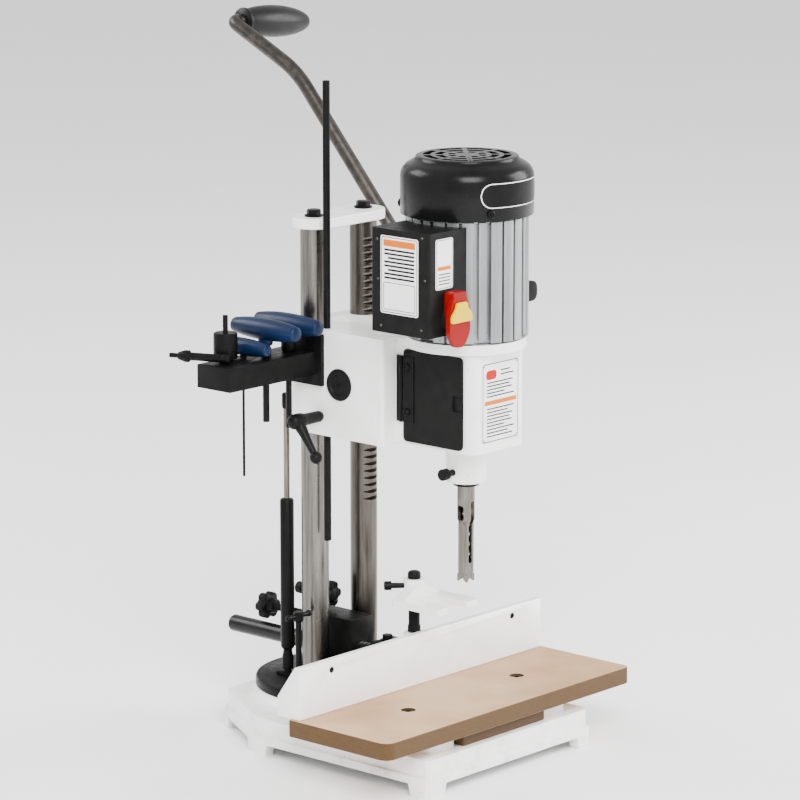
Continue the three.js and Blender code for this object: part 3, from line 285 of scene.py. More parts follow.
# ---- finishing
def soften(obj, width, angle=32, steps=3):
    """Small rounded edges, and smooth shading on everything gentler than angle degrees."""
    for face in obj.data.polygons:
        face.use_smooth = True
    bevel = obj.modifiers.new("edges", "BEVEL")
    bevel.width = width * MM
    bevel.segments = steps
    bevel.limit_method = "ANGLE"
    bevel.angle_limit = math.radians(angle)
    bevel.harden_normals = True
    bevel.use_clamp_overlap = True
    return obj


def smooth(obj, angle=32):
    """Smooth shading with sharp edges kept where faces meet at more than angle degrees."""
    work = bmesh.new()
    work.from_mesh(obj.data)
    for face in work.faces:
        face.smooth = True
    for edge in work.edges:
        edge.smooth = len(edge.link_faces) == 2 and edge.calc_face_angle() < math.radians(angle)
    work.to_mesh(obj.data)
    work.free()
    return obj


def dress(obj, material):
    obj.data.materials.clear()
    obj.data.materials.append(material)
    return obj


def stand_in(obj, material, *nodes):
    """obj takes the place of these CAD nodes, all on one body."""
    dress(obj, material)
    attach(obj, BODY_OF[nodes[0]])
    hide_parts(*nodes)
    return obj


def extra(obj, material, node):
    """obj is a small piece without a CAD node, fixed to this one."""
    dress(obj, material)
    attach(obj, BODY_OF[node])
    return obj


def keep(node, material, width):
    """A CAD node shown as it is, with a finish and rounded edges."""
    obj = frame["nodes"][node]
    dress(obj, material)
    weld = obj.modifiers.new("weld", "WELD")
    weld.merge_threshold = 0.00001
    plane = obj.modifiers.new("planes", "DECIMATE")
    plane.decimate_type = "DISSOLVE"
    plane.angle_limit = math.radians(0.5)
    soften(obj, width)
    return obj


# ---- materials
class Finish:
    """A procedural material and short ways to add to its nodes."""

    def __init__(self, name):
        self.material = bpy.data.materials.new(name)
        self.material.use_nodes = True
        self.nodes = self.material.node_tree.nodes
        self.links = self.material.node_tree.links
        self.shader = self.nodes["Principled BSDF"]
        self.place = self.nodes.new("ShaderNodeTexCoord").outputs["Object"]

    def set(self, **values):
        for key, value in values.items():
            self.shader.inputs[key.replace("_", " ")].default_value = value
        return self

    def noise(self, scale, detail=4, stretch=(1, 1, 1), roughness=0.55):
        """Noise with scale features per metre, stretched along an axis by a small factor there."""
        mapping = self.nodes.new("ShaderNodeMapping")
        mapping.inputs["Scale"].default_value = stretch
        self.links.new(self.place, mapping.inputs["Vector"])
        noise = self.nodes.new("ShaderNodeTexNoise")
        noise.inputs["Scale"].default_value = scale
        noise.inputs["Detail"].default_value = detail
        noise.inputs["Roughness"].default_value = roughness
        self.links.new(mapping.outputs["Vector"], noise.inputs["Vector"])
        return noise.outputs["Fac"]

    def ramp(self, factor, *stops):
        """Colour ramp from (position, colour) stops."""
        node = self.nodes.new("ShaderNodeValToRGB")
        elements = node.color_ramp.elements
        while len(elements) < len(stops):
            elements.new(0.5)
        for element, (position, color) in zip(elements, stops):
            element.position = position
            element.color = (*color, 1)
        self.links.new(factor, node.inputs["Fac"])
        return node.outputs["Color"]

    def range(self, factor, low, high, start=0.3, end=0.7):
        """Factor between start and end spread over low to high."""
        node = self.nodes.new("ShaderNodeMapRange")
        node.inputs["From Min"].default_value = start
        node.inputs["From Max"].default_value = end
        node.inputs["To Min"].default_value = low
        node.inputs["To Max"].default_value = high
        self.links.new(factor, node.inputs["Value"])
        return node.outputs["Result"]

    def mix(self, factor, first, second):
        node = self.nodes.new("ShaderNodeMixRGB")
        for socket, value in ((node.inputs["Fac"], factor), (node.inputs["Color1"], first),
                              (node.inputs["Color2"], second)):
            if isinstance(value, bpy.types.NodeSocket):
                self.links.new(value, socket)
            elif isinstance(value, tuple):
                socket.default_value = (*value, 1)
            else:
                socket.default_value = value
        return node.outputs["Color"]

    def bump(self, height, distance, strength=1.0, under=None):
        """Bump of that depth in millimetres; under is an earlier bump."""
        node = self.nodes.new("ShaderNodeBump")
        node.inputs["Distance"].default_value = distance * MM
        node.inputs["Strength"].default_value = strength
        self.links.new(height, node.inputs["Height"])
        if under is not None:
            self.links.new(under, node.inputs["Normal"])
        return node.outputs["Normal"]

    def use(self, socket, value):
        self.links.new(value, self.shader.inputs[socket])
        return self


def painted_iron(name, grain, depth, grime=0.0):
    """White enamel over cast iron: faint mottling, orange peel, low waves and patches of grime."""
    look = Finish(name)
    tone = look.ramp(look.noise(14, 6), (0.3, (0.8, 0.8, 0.785)), (0.7, (0.88, 0.88, 0.87)))
    specks = look.range(look.noise(420, 2), 0, 1, 0.66, 0.72)
    tone = look.mix(specks, tone, (0.6, 0.59, 0.56))
    dirt = look.range(look.noise(32, 8, (1, 1, 1), 0.7), 0, grime, 0.5, 0.66)
    tone = look.mix(dirt, tone, (0.5, 0.49, 0.46))
    look.use("Base Color", tone)
    look.use("Roughness", look.range(look.noise(60, 4), 0.24, 0.42))
    waves = look.bump(look.noise(45, 3), 0.5 * depth, 0.6)
    look.use("Normal", look.bump(look.noise(grain, 3), 0.16 * depth, 0.7, waves))
    return look.set(Coat_Weight=0.25, Coat_Roughness=0.12).material


def even(name, tones, clouds, rough, sheen, grain, **values):
    """Cloudy tone between two colours, uneven sheen and a fine bump.

    clouds holds the tone's noise, sheen its features per metre, grain the bump's noise and depths.
    """
    look = Finish(name)
    look.use("Base Color", look.ramp(look.noise(*clouds), *tones))
    look.use("Roughness", look.range(look.noise(sheen, 4), *rough))
    scale, detail, depth, strength = grain
    look.use("Normal", look.bump(look.noise(scale, detail), depth, strength))
    return look.set(**values).material


def satin_black(name, tone, rough, shine, grain=1500, depth=0.05):
    """Dark finish with a fine grain and uneven sheen."""
    dark = (tone * 0.75, tone * 0.75, tone * 0.75)
    light = (tone * 1.4, tone * 1.38, tone * 1.34)
    return even(name, ((0.3, dark), (0.75, light)), (70, 6), rough, 120, (grain, 2, depth, 0.5),
                Specular_IOR_Level=shine)


def gloss_black():
    """Baked black enamel of the fan cover."""
    tones = ((0.3, (0.003, 0.003, 0.0032)), (0.7, (0.006, 0.006, 0.0062)))
    return even("black_enamel", tones, (30, 5), (0.2, 0.28), 200, (260, 2, 0.02, 0.3),
                Specular_IOR_Level=0.12)


def steel(name, dark, light, stretch, rough, streak=260, oil=0.14):
    """Ground bar with fine streaks and patches of thin brown oil."""
    look = Finish(name)
    lines = look.noise(streak, 5, stretch, 0.65)
    patches = look.noise(22, 5)
    color = look.ramp(lines, (0.32, dark), (0.68, light))
    stain = tuple(c * f for c, f in zip(dark, (0.95, 0.8, 0.68)))
    color = look.mix(look.range(patches, 0, oil, 0.42, 0.66), color, stain)
    look.use("Base Color", color)
    look.use("Roughness", look.range(patches, *rough, 0.35, 0.65))
    look.use("Normal", look.bump(lines, 0.02, 0.35))
    return look.set(Metallic=1.0).material


def fibreboard(name, top, edge):
    """Pressed wood: fine fibres on the faces, darker cut sides."""
    look = Finish(name)
    fibres = look.noise(900, 5, (0.25, 1, 1), 0.7)
    clouds = look.noise(9, 5)
    dark = tuple(c * 0.78 for c in top)
    face = look.ramp(fibres, (0.3, dark), (0.6, top))
    stain = (top[0] * 0.74, top[1] * 0.66, top[2] * 0.56)
    face = look.mix(look.range(clouds, 0, 0.9, 0.42, 0.68), face, stain)
    layers = look.noise(700, 4, (0.15, 0.15, 1), 0.7)
    side = look.ramp(layers, (0.3, tuple(c * 0.72 for c in edge)), (0.7, edge))
    normal = look.nodes.new("ShaderNodeSeparateXYZ")
    look.links.new(look.nodes.new("ShaderNodeTexCoord").outputs["Normal"], normal.inputs["Vector"])
    up = look.nodes.new("ShaderNodeMath")
    up.operation = "ABSOLUTE"
    look.links.new(normal.outputs["Z"], up.inputs[0])
    look.use("Base Color", look.mix(look.range(up.outputs["Value"], 0, 1, 0.5, 0.85), side, face))
    look.use("Roughness", look.range(clouds, 0.38, 0.55))
    look.use("Normal", look.bump(fibres, 0.06, 0.4))
    return look.set(Specular_IOR_Level=0.2).material


def moulded(name, dark, light, rough, grain=500, shine=0.4):
    """Coloured plastic with a faint flow pattern and fine bump."""
    return even(name, ((0.3, dark), (0.7, light)), (40, 5), rough, 90, (grain, 3, 0.04, 0.4),
                Specular_IOR_Level=shine)


def finned_aluminium():
    """Die-cast aluminium: pale grey with faint upright flow marks."""
    tones = ((0.3, (0.21, 0.218, 0.222)), (0.7, (0.34, 0.348, 0.352)))
    flow = (120, 5, (1, 1, 0.06), 0.6)
    return even("cast_aluminium", tones, flow, (0.3, 0.44), 70, (1100, 2, 0.03, 0.4), Metallic=0.9)


CAST_PAINT = painted_iron("cast_paint", 240, 1.6, 0.6)
WHITE_PAINT = painted_iron("white_paint", 380, 0.8, 0.12)
BLACK_STEEL = satin_black("black_steel", 0.004, (0.3, 0.46), 0.08)
OILED_BLACK = satin_black("oiled_black", 0.005, (0.24, 0.34), 0.2)
BLACK_PLASTIC = satin_black("black_plastic", 0.005, (0.36, 0.5), 0.08, 2200, 0.06)
DARK_GRIP = satin_black("dark_grip", 0.006, (0.32, 0.44), 0.16, 900, 0.08)
ENAMEL = gloss_black()
COLUMN_STEEL = steel("column_steel", (0.09, 0.083, 0.074), (0.2, 0.187, 0.172), (1, 1, 0.04), (0.24, 0.3))
RACK_STEEL = steel("rack_steel", (0.055, 0.048, 0.041), (0.115, 0.105, 0.093), (1, 1, 0.05), (0.26, 0.34))
CHISEL_STEEL = steel("chisel_steel", (0.1, 0.088, 0.077), (0.22, 0.205, 0.19), (1, 1, 0.06), (0.24, 0.4),
                     400)
BRIGHT_STEEL = steel("bright_steel", (0.3, 0.29, 0.28), (0.52, 0.51, 0.5), (1, 1, 0.06), (0.2, 0.36),
                     400, 0.2)
DARK_STEEL = steel("dark_steel", (0.04, 0.035, 0.031), (0.085, 0.077, 0.07), (1, 1, 1), (0.32, 0.46), 90)
ALUMINIUM = finned_aluminium()
BOARD = fibreboard("fibreboard", (0.48, 0.305, 0.165), (0.08, 0.042, 0.013))
BATTEN = fibreboard("batten_wood", (0.26, 0.16, 0.085), (0.065, 0.032, 0.011))
BLUE = moulded("blue_grip", (0.0018, 0.0075, 0.027), (0.003, 0.0125, 0.043), (0.3, 0.42), 700, 0.16)
RED = moulded("red_plastic", (0.17, 0.0004, 0.0003), (0.21, 0.0005, 0.0004), (0.3, 0.4), 500, 0.12)
YELLOW = moulded("yellow_plastic", (0.55, 0.37, 0.0005), (0.62, 0.43, 0.0008), (0.3, 0.4), 500, 0.15)
LABEL = moulded("label_white", (0.74, 0.74, 0.73), (0.82, 0.82, 0.81), (0.34, 0.46), 1200)
PRINT_DARK = moulded("print_dark", (0.006, 0.006, 0.007), (0.012, 0.012, 0.013), (0.35, 0.5), 500, 0.1)
PRINT_RED = moulded("print_red", (0.36, 0.003, 0.003), (0.42, 0.005, 0.004), (0.35, 0.5), 500, 0.1)
PRINT_AMBER = moulded("print_amber", (0.5, 0.1, 0.0005), (0.56, 0.13, 0.0008), (0.35, 0.5), 500, 0.1)


# ---- base and table
def build_base():
    keep("base_casting", CAST_PAINT, 1.8)
    keep("board_batten", BATTEN, 0.8)
    build_board()
    for node in ("board_screw_left", "board_screw_right"):
        build_board_screw(node)


def build_board():
    s = Span("table_board")
    outline = rounded([(s.x0, s.y0, 14), (s.x1, s.y0, 8), (s.x1, s.y1, 2), (s.x0, s.y1, 2)], steps=16)
    board = extrude("mortising_table", outline, s.z0, s.z1)
    profile = [(0, s.z0 - 1), (3.3, s.z0 - 1), (3.3, s.z1 - 7.5), (7.8, s.z1 - 3), (7.8, s.z1 + 1),
               (0, s.z1 + 1)]
    holes = []
    for node in ("board_screw_left", "board_screw_right"):
        screw = Span(node)
        holes.append(lathe("hole", profile, (screw.x, screw.y, 0), segments=MEDIUM))
    cut(board, *holes)
    stand_in(soften(board, 0.9), BOARD, "table_board")


def build_board_screw(node):
    s = Span(node)
    screw = lathe("table_" + node, [
        (0, s.z0), (2.9, s.z0), (2.9, s.z1 - 4.9), (6.4, s.z1 - 1.4), (6.4, s.z1), (0, s.z1),
    ], (s.x, s.y, 0), segments=MEDIUM)
    cut(screw, extrude("socket", hexagon(5, (s.x, s.y)), s.z1 - 3, s.z1 + 1))
    stand_in(soften(screw, 0.25), BLACK_STEEL, node)


# ---- columns
def build_columns():
    flange = Span("column_flange")
    radius = flange.x1
    disc = lathe("swivel_flange", [
        (0, flange.z0), (radius - 1, flange.z0), (radius, flange.z0 + 1), (radius, flange.z1 - 3.5),
        (radius - 1, flange.z1 - 1.2), (radius - 3.5, flange.z1), (0, flange.z1),
    ], (0, flange.y, 0))
    for node in ("left_column", "rack_column"):
        build_column(node)
    stand_in(smooth(disc), BLACK_STEEL, "column_flange")
    build_cap()


def build_column(node):
    s = Span(node)
    radius = (s.x1 - s.x0) / 2
    centre = (s.x, s.y1 - radius, 0)
    column = lathe("ground_" + node, [
        (0, s.z0), (radius, s.z0), (radius, s.z1 - 1), (radius - 1, s.z1), (0, s.z1),
    ], centre)
    if node == "left_column":
        stand_in(smooth(column), COLUMN_STEEL, node)
        return
    cut(column, gather("rack_spaces", rack_spaces(s, centre[1] - radius)))
    stand_in(smooth(column), RACK_STEEL, node)


def tooth_space(module):
    """Pitch, slope of the flanks, and half the width of a space at its mouth and at its floor."""
    pitch = math.pi * module
    slope = math.tan(math.radians(20))
    return pitch, slope, pitch / 4 + module * slope, pitch / 4 - 1.3 * module * slope


def rack_spaces(s, front):
    """Prisms that cut the tooth spaces of the feed rack into the front of its column."""
    module = 2.5
    pitch, slope, mouth, floor = tooth_space(module)
    pinion = Span("gear_plug").z
    spaces = []
    for i in range(-19, 19):
        z = pinion + i * pitch
        outline = [
            (front - 0.6, z - mouth - 0.6 * slope), (front + 2.3 * module, z - floor),
            (front + 2.3 * module, z + floor), (front - 0.6, z + mouth + 0.6 * slope),
        ]
        spaces.append(extrude("space", outline, s.x0 - 1, s.x1 + 1, "X"))
    return spaces


def build_cap():
    s = Span("column_cap")
    cap = extrude("top_bridge", stadium(s.x0, s.x1, s.y, (s.y1 - s.y0) / 2), s.z0, s.z1)
    stand_in(soften(cap, 1.6), WHITE_PAINT, "column_cap")
    for node in ("cap_bolt_left", "cap_bolt_right"):
        build_cap_bolt(node, s.z1 + 0.3)


def build_cap_bolt(node, seat):
    """Hexagon bolt whose head has a turned chamfer, on a thin washer."""
    bolt = Span(node)
    centre = (bolt.x, bolt.y, 0)
    shank = cylinder("shank", 5, bolt.z0, seat + 1, centre)
    washer = cylinder("washer", 10, seat, seat + 1.6, centre)
    head = extrude("head", hexagon(14, (bolt.x, bolt.y)), seat + 1.2, bolt.z1)
    chamfer = [(0, seat), (7.6, seat), (8, bolt.z1 - 1.2), (6.8, bolt.z1), (0, bolt.z1)]
    head = combine(head, [lathe("dome", chamfer, centre)], "INTERSECT")
    stand_in(soften(join(shank, washer, head), 0.3), BLACK_STEEL, node)


# ---- fence carrier
def build_fence_carrier():
    keep("fence_block", BLACK_STEEL, 0.9)
    keep("fence_pinion", RACK_STEEL, 0.2)
    keep("fence_feed_knob", BLACK_PLASTIC, 0.5)
    keep("gas_bracket", BLACK_STEEL, 0.5)
    build_star_knob("fence_lock_knob", 1, 15.5, 12)
    build_star_knob("block_clamp_knob", -1, 15.2, 9)
    build_swivel_lock()
    build_gas_spring()


def build_star_knob(node, facing, radius, thickness):
    """Lobed knob at one end of the node's box, with its stud along Y; facing is 1 for the back."""
    s = Span(node)
    z = s.z
    outer = s.y1 if facing > 0 else s.y0
    face = outer - facing * (thickness + 5)
    heights = sorted((face, face + facing * thickness))
    knob = extrude("lobes", lobed(radius, 3.4, 6, (s.x, z)), *heights, "Y")
    soften(knob, 2.2, 32, 4)
    knob = combine(knob, [], "UNION")
    neck = lathe("neck", [(0, face - facing * 7), (7, face - facing * 7), (9, face + facing * 0.5),
                          (0, face + facing * 0.5)], (s.x, 0, z), "Y", MEDIUM)
    crown = lathe("crown", [
        (0, face + facing * (thickness - 1)),
        (radius * 0.6, face + facing * (thickness - 1)),
        (radius * 0.55, face + facing * (thickness + 2.6)),
        (radius * 0.4, face + facing * (thickness + 4.4)),
        (0, outer),
    ], (s.x, 0, z), "Y", MEDIUM)
    inner = s.y0 if facing > 0 else s.y1
    rod = lathe("stud", thread(4, inner, face - facing * 6.5), (s.x, 0, z), "Y", MEDIUM)
    parts = [knob, neck, crown, rod]
    if facing < 0:
        nut = [
            (0, inner - 9.5), (6, inner - 9.5), (6.7, inner - 8.8), (6.7, inner - 1.2),
            (6, inner - 0.5), (0, inner - 0.5),
        ]
        parts.append(lathe("nut", nut, (s.x, 0, z), "Y", MEDIUM))
    joined = gather("star_" + node, parts)
    stand_in(smooth(joined, 40), BLACK_PLASTIC, node)


def thread(radius, start, end, pitch=1.5):
    """Profile of a threaded rod between two heights."""
    count = int(abs(end - start) / pitch)
    step = (end - start) / count
    profile = [(0, start), (radius - 0.5, start)]
    for i in range(count):
        profile.append((radius, start + (i + 0.5) * step))
        profile.append((radius - 0.45, start + (i + 1) * step))
    profile.append((0, end))
    return profile


def build_swivel_lock():
    s = Span("swivel_lock")
    top = s.z1 - 4
    x, y = s.x, s.y
    nut = extrude("nut", hexagon(17, (x, y)), s.z0, s.z0 + 8.7)
    stem = lathe("stem", [
        (0, s.z0 + 8), (3.5, s.z0 + 8), (3.5, top - 8), (5.5, top - 6), (5.5, top + 3),
        (4.6, top + 4), (0, top + 4),
    ], (x, y, 0), segments=MEDIUM)
    bar = cylinder("bar", 2.6, -16, 16, (x, y, top - 1), "X", MEDIUM)
    ends = [ball("end", (x + side * 16, y, top - 1), 3.6) for side in (-1, 1)]
    joined = gather("tee_handle", [nut, stem, bar, *ends])
    stand_in(smooth(joined), BLACK_STEEL, "swivel_lock")


def build_gas_spring():
    s = Span("gas_cylinder")
    tube = lathe("gas_tube", [
        (4.6, s.z0), (6.2, s.z0), (6.6, s.z0 + 12), (5, s.z0 + 20), (5, s.z0 + 22), (7, s.z0 + 24),
        (7.7, s.z0 + 26), (7.7, s.z1 - 2), (7, s.z1 - 0.6), (6, s.z1), (3.7, s.z1), (3.7, s.z0 + 30),
        (0, s.z0 + 30), (0, s.z0 + 10), (4.6, s.z0 + 8),
    ], (s.x, s.y, 0))
    stand_in(smooth(tube), BLACK_STEEL, "gas_cylinder")
    rod = Span("gas_rod")
    stud = rod.z1 - GAS_STUD_DROP
    x, y = rod.x, s.y
    shaft = cylinder("gas_piston_rod", 3.3, rod.z0, stud - 9, (x, y, 0), segments=MEDIUM)
    stand_in(smooth(shaft), CHISEL_STEEL, "gas_rod")
    socket = lathe("gas_rod_socket", [
        (0, stud - 9.2), (4.2, stud - 9), (4.9, stud - 6), (4.9, stud + 6), (4.2, stud + 8),
        (0, stud + 9),
    ], (x, y, 0), segments=MEDIUM)
    extra(smooth(socket), BLACK_STEEL, "gas_rod")


# ---- fence and hold-down
def build_fence():
    keep("fence", WHITE_PAINT, 0.7)
    keep("fence_bracket", BLACK_STEEL, 1.0)
    s = Span("fence")
    profile = [
        (0, s.y0 - 0.1), (1.5, s.y0 - 0.1), (1.7, s.y0 - 0.9), (2.7, s.y0 - 0.8), (3.4, s.y0),
        (0, s.y0),
    ]
    screws = [lathe("screw", profile, (x, 0, s.z1 - 11.2), "Y", 32) for x in (-149, 149)]
    extra(smooth(gather("fence_screws", screws)), BLACK_STEEL, "fence")
    build_bracket_screw()
    build_fence_bar()
    build_hold_down()


def build_bracket_screw():
    """Hexagon bolt that locks the bar in the fence's bracket."""
    s = Span("fence_bracket")
    x, y = 0, s.y1 - 8
    bolt = extrude("bracket_screw", hexagon(10, (x, y)), s.z1 + 0.9, s.z1 + 6)
    washer = cylinder("washer", 7.6, s.z1 - 0.5, s.z1 + 1, (x, y, 0))
    extra(soften(gather("bracket_screw", [bolt, washer]), 0.3), BLACK_STEEL, "fence_bracket")


def build_fence_bar():
    s = Span("fence_bar")
    radius = s.x1
    pitch, _, mouth, floor = tooth_space(1.5)
    middle = Span("fence_pinion").y
    profile = [(0, s.y0), (radius - 1, s.y0), (radius, s.y0 + 1)]
    root = radius - 3.4
    first = math.ceil((s.y0 + 8 - middle) / pitch)
    for i in range(first, 9):
        y = middle + i * pitch
        profile += [(radius, y - mouth), (root, y - floor), (root, y + floor), (radius, y + mouth)]
    step = s.y0 + 125
    tail = 9.5
    profile += [(radius, step), (tail, step + 2), (tail, s.y1 - 2.5), (tail - 0.8, s.y1 - 0.8),
                (tail - 2.5, s.y1), (0, s.y1)]
    bar = lathe("rack_bar", profile, (0, 0, s.z), "Y")
    stand_in(smooth(bar, 25), OILED_BLACK, "fence_bar")


def build_hold_down():
    s = Span("hold_down_post")
    r = 6.25
    post = lathe("clamp_post", [
        (0, s.z0), (r, s.z0), (r, s.z0 + 11.3), (7.1, s.z0 + 11.8), (7.1, s.z0 + 18), (r, s.z0 + 19.5),
        (r, s.z1 - 8.4), (7.2, s.z1 - 8.2), (7.2, s.z1 - 3), (6.4, s.z1 - 1.2), (4.5, s.z1 - 0.2),
        (0, s.z1),
    ], (0, s.y, 0), segments=MEDIUM)
    stand_in(smooth(post), BLACK_STEEL, "hold_down_post")
    build_fork(s.y)
    bolt = Span("hold_down_bolt")
    reach = 33
    head = lathe("bolt_head", [
        (0, -reach + 4), (2.4, -reach + 4), (2.9, -reach + 3.8), (2.9, -reach), (4.2, -reach),
        (5, -reach + 0.8),
        (5, -reach + 8), (3, -reach + 8), (3, -6.9), (0, -6.9),
    ], (0, s.y, bolt.z), "X", MEDIUM)
    turn(head, -45, "Z", (0, s.y, bolt.z))
    stand_in(smooth(head), BLACK_STEEL, "hold_down_bolt")


def build_fork(post_y):
    s = Span("hold_down_fork")
    top = s.z0 + 7.4
    back = 77
    outline = rounded([
        (-34, 10.5), (-14.5, 10.5), (-13.5, 50), (-6, 58), (6, 58), (13.5, 50), (14.5, 10.5),
        (34, 10.5),
        (34, back), (-34, back),
    ], 3)
    plate = extrude("plate", outline, s.z0, top)
    rib = [(-30, top - 0.5), (30, top - 0.5), (9, top + 12), (-9, top + 12)]
    web = extrude("web", rib, 62.5, 76.5, "Y")
    boss = cylinder("boss", 11.5, s.z0, s.z1, (0, post_y, 0), segments=MEDIUM)
    bore = cylinder("bore", 6.55, s.z0 - 2, s.z1 + 2, (0, post_y, 0), segments=MEDIUM)
    hole = cylinder("hole", 3.4, -20, -4, (0, post_y, Span("hold_down_bolt").z), "X", MEDIUM)
    turn(hole, -45, "Z", (0, post_y, 0))
    fork = cut(join(plate, web, boss), bore, hole)
    stand_in(soften(fork, 1.5, 35), WHITE_PAINT, "hold_down_fork")


# ---- head
def build_head():
    build_head_casting()
    build_name_plate()
    build_gear_plug()
    build_door()
    keep("tool_holder", BLACK_STEEL, 0.8)
    build_chisel_screw()
    build_chisel()
    keep("drill_chuck", BRIGHT_STEEL, 0.6)
    keep("auger_bit", BRIGHT_STEEL, 0.1)


def build_head_casting():
    s = Span("head_casting")
    columns = Span("left_column")
    plug = Span("gear_plug")
    rod = Span("depth_rod")
    bottom, top = 350, 466
    column_x = -columns.x
    shell = extrude("shell", stadium(s.x0, s.x1, columns.y, s.x1 - column_x), bottom, top)
    middle = extrude("middle", rectangle(s.x0, s.x1, 62, columns.y, 5), bottom, top)
    front = extrude("front", rectangle(-43, 43, HEAD_FRONT, 80, 12, 16), bottom + 2, top)
    nose = lathe("nose", [
        (0, s.z0), (19, s.z0), (21, s.z0 + 1), (22, s.z0 + 4), (22, bottom - 3), (24, bottom),
        (27, bottom + 3), (0, bottom + 3),
    ])
    join(shell, middle, front, nose, cylinder("seat", 64, top - 6, s.z1))
    room = extrude("room", rectangle(-28, 44, 362, 449, 8), -52, 35, "X")
    nose_bore = lathe("nose_bore", [
        (0, s.z0 - 1), (14.3, s.z0 - 1), (14.3, 346), (10, 346), (10, 364), (0, 364),
    ], segments=MEDIUM)
    bores = [room, nose_bore, cylinder("spindle_bore", 12, 440, s.z1 + 1, segments=MEDIUM)]
    for x in (-column_x, column_x):
        bores.append(cylinder("bore", 15.3, bottom - 1, top + 1, (x, columns.y, 0)))
    bores += [
        cylinder("rod_bore", 4.3, bottom - 1, top + 1, (rod.x, rod.y, 0), segments=MEDIUM),
        cylinder("plug_bore", 14.5, -66, -50, (0, plug.y, plug.z), "X", MEDIUM),
        cylinder("screw_bore", 3.9, -24, -10, (0, 0, Span("chisel_screw").z), "X", MEDIUM),
        cylinder("pocket", 51.5, 27.75, 51.75, (0, plug.y, plug.z), "X"),
    ]
    cut(shell, *bores)
    lug_z = Span("gas_rod").z1 - GAS_STUD_DROP
    lug = block("lug", -54, -38, columns.y + 18, columns.y + 29.2, lug_z - 9, lug_z + 10)
    stud = cylinder("stud", 3.6, columns.y + 28, s.y1, (-46, 0, lug_z), "Y", MEDIUM)
    join(shell, lug, stud)
    shell.name = "head_shell"
    stand_in(soften(shell, 1.4, 35), WHITE_PAINT, "head_casting")


class Label:
    """Blank label that faces the front (axis Y) or the left (axis X), fixed to a CAD node."""

    def __init__(self, name, axis, surface, thickness, node, box, edge=0.0):
        self.name, self.axis, self.node = name, axis, node
        self.face = surface - thickness
        self.u0, self.u1, self.v0, self.v1 = box
        sheet = extrude(name, rectangle(*box, 3), self.face, surface, axis)
        if edge:
            soften(sheet, edge)
        extra(sheet, LABEL, node)

    def ink(self, name, outline):
        return extrude(name, outline, self.face - INK, self.face, self.axis)

    def bars(self, part, rows, height, material):
        """Printed bars: a row has its height, then its start and end as parts of the width."""
        width = self.u1 - self.u0
        pieces = []
        for v, (start, end) in rows:
            left, right = self.u0 + width * start, self.u0 + width * end
            outline = [(left, v), (right, v), (right, v + height), (left, v + height)]
            pieces.append(self.ink("bar", outline))
        extra(gather(self.name + part, pieces), material, self.node)

    def border(self, part, inset, radius, line, top=None):
        """Printed frame inset from the label's edges, or as high as top."""
        u0, u1, v0 = self.u0 + inset, self.u1 - inset, self.v0 + inset
        v1 = self.v1 - inset if top is None else top
        ring = self.ink(self.name + part, rectangle(u0, u1, v0, v1, radius))
        hollow = rectangle(u0 + line, u1 - line, v0 + line, v1 - line, max(radius - line, 0.3))
        inside = extrude("inside", hollow, self.face - INK - 1, self.face + 1, self.axis)
        extra(cut(ring, inside), PRINT_DARK, self.node)


def build_name_plate():
    """Plain riveted plate on the head's front: a border and blank rules, no lettering."""
    x0, x1, z0, z1 = -30.6, 30.6, 361.8, 449.6
    plate = Label("data_plate", "Y", HEAD_FRONT, 0.5, "head_casting", (x0, x1, z0, z1), 0.12)
    plate.border("_border", 1.6, 2.5, 0.9)
    ends = (0.82, 0.7, 0.86, 0.6, 0.8, 0.74)
    rows = [(z0 + 7 + 3.7 * i, (0.14, ends[i % 6])) for i in range(9)]
    rows += [(z0 + 50 + 3.7 * i, (0.14, ends[(i + 2) % 6])) for i in range(5)]
    rows += [(z0 + 72 + 4.4 * i, (0.5, 0.84 - 0.08 * i)) for i in range(2)]
    plate.bars("_rules", rows, 1.4, PRINT_DARK)
    plate.bars("_band", [(z0 + 41.5, (0.08, 0.92))], 4.6, PRINT_AMBER)
    patch = plate.ink("data_plate_patch", rectangle(x0 + 7, x0 + 24, z1 - 19, z1 - 9, 4.5))
    extra(patch, PRINT_RED, "head_casting")
    profile = [
        (0, plate.face - 1), (0.8, plate.face - 0.9), (1.4, plate.face - 0.5), (1.6, plate.face),
        (0, plate.face),
    ]
    rivets = []
    for x in (x0 + 3.6, x1 - 3.6):
        for z in (z0 + 3.6, z1 - 3.6):
            rivets.append(lathe("rivet", profile, (x, 0, z), "Y", 24))
    extra(smooth(gather("data_plate_rivets", rivets), 60), BRIGHT_STEEL, "head_casting")


def build_gear_plug():
    s = Span("gear_plug")
    face = s.x0 + 2.6
    plug = lathe("shaft_plug", [
        (0, face - 1.2), (1.2, face - 1.2), (1.2, face - 1.8), (1.8, face - 1.8), (2, face - 1.2),
        (10.4, face - 1.4),
        (11.4, face - 2.5), (15.2, face - 2.6), (17, face - 1.8), (17.5, face - 0.8), (17.5, face),
        (14.2, face), (14.2, s.x1), (0, s.x1),
    ], (0, s.y, s.z), "X")
    stand_in(smooth(plug, 25), BLACK_PLASTIC, "gear_plug")


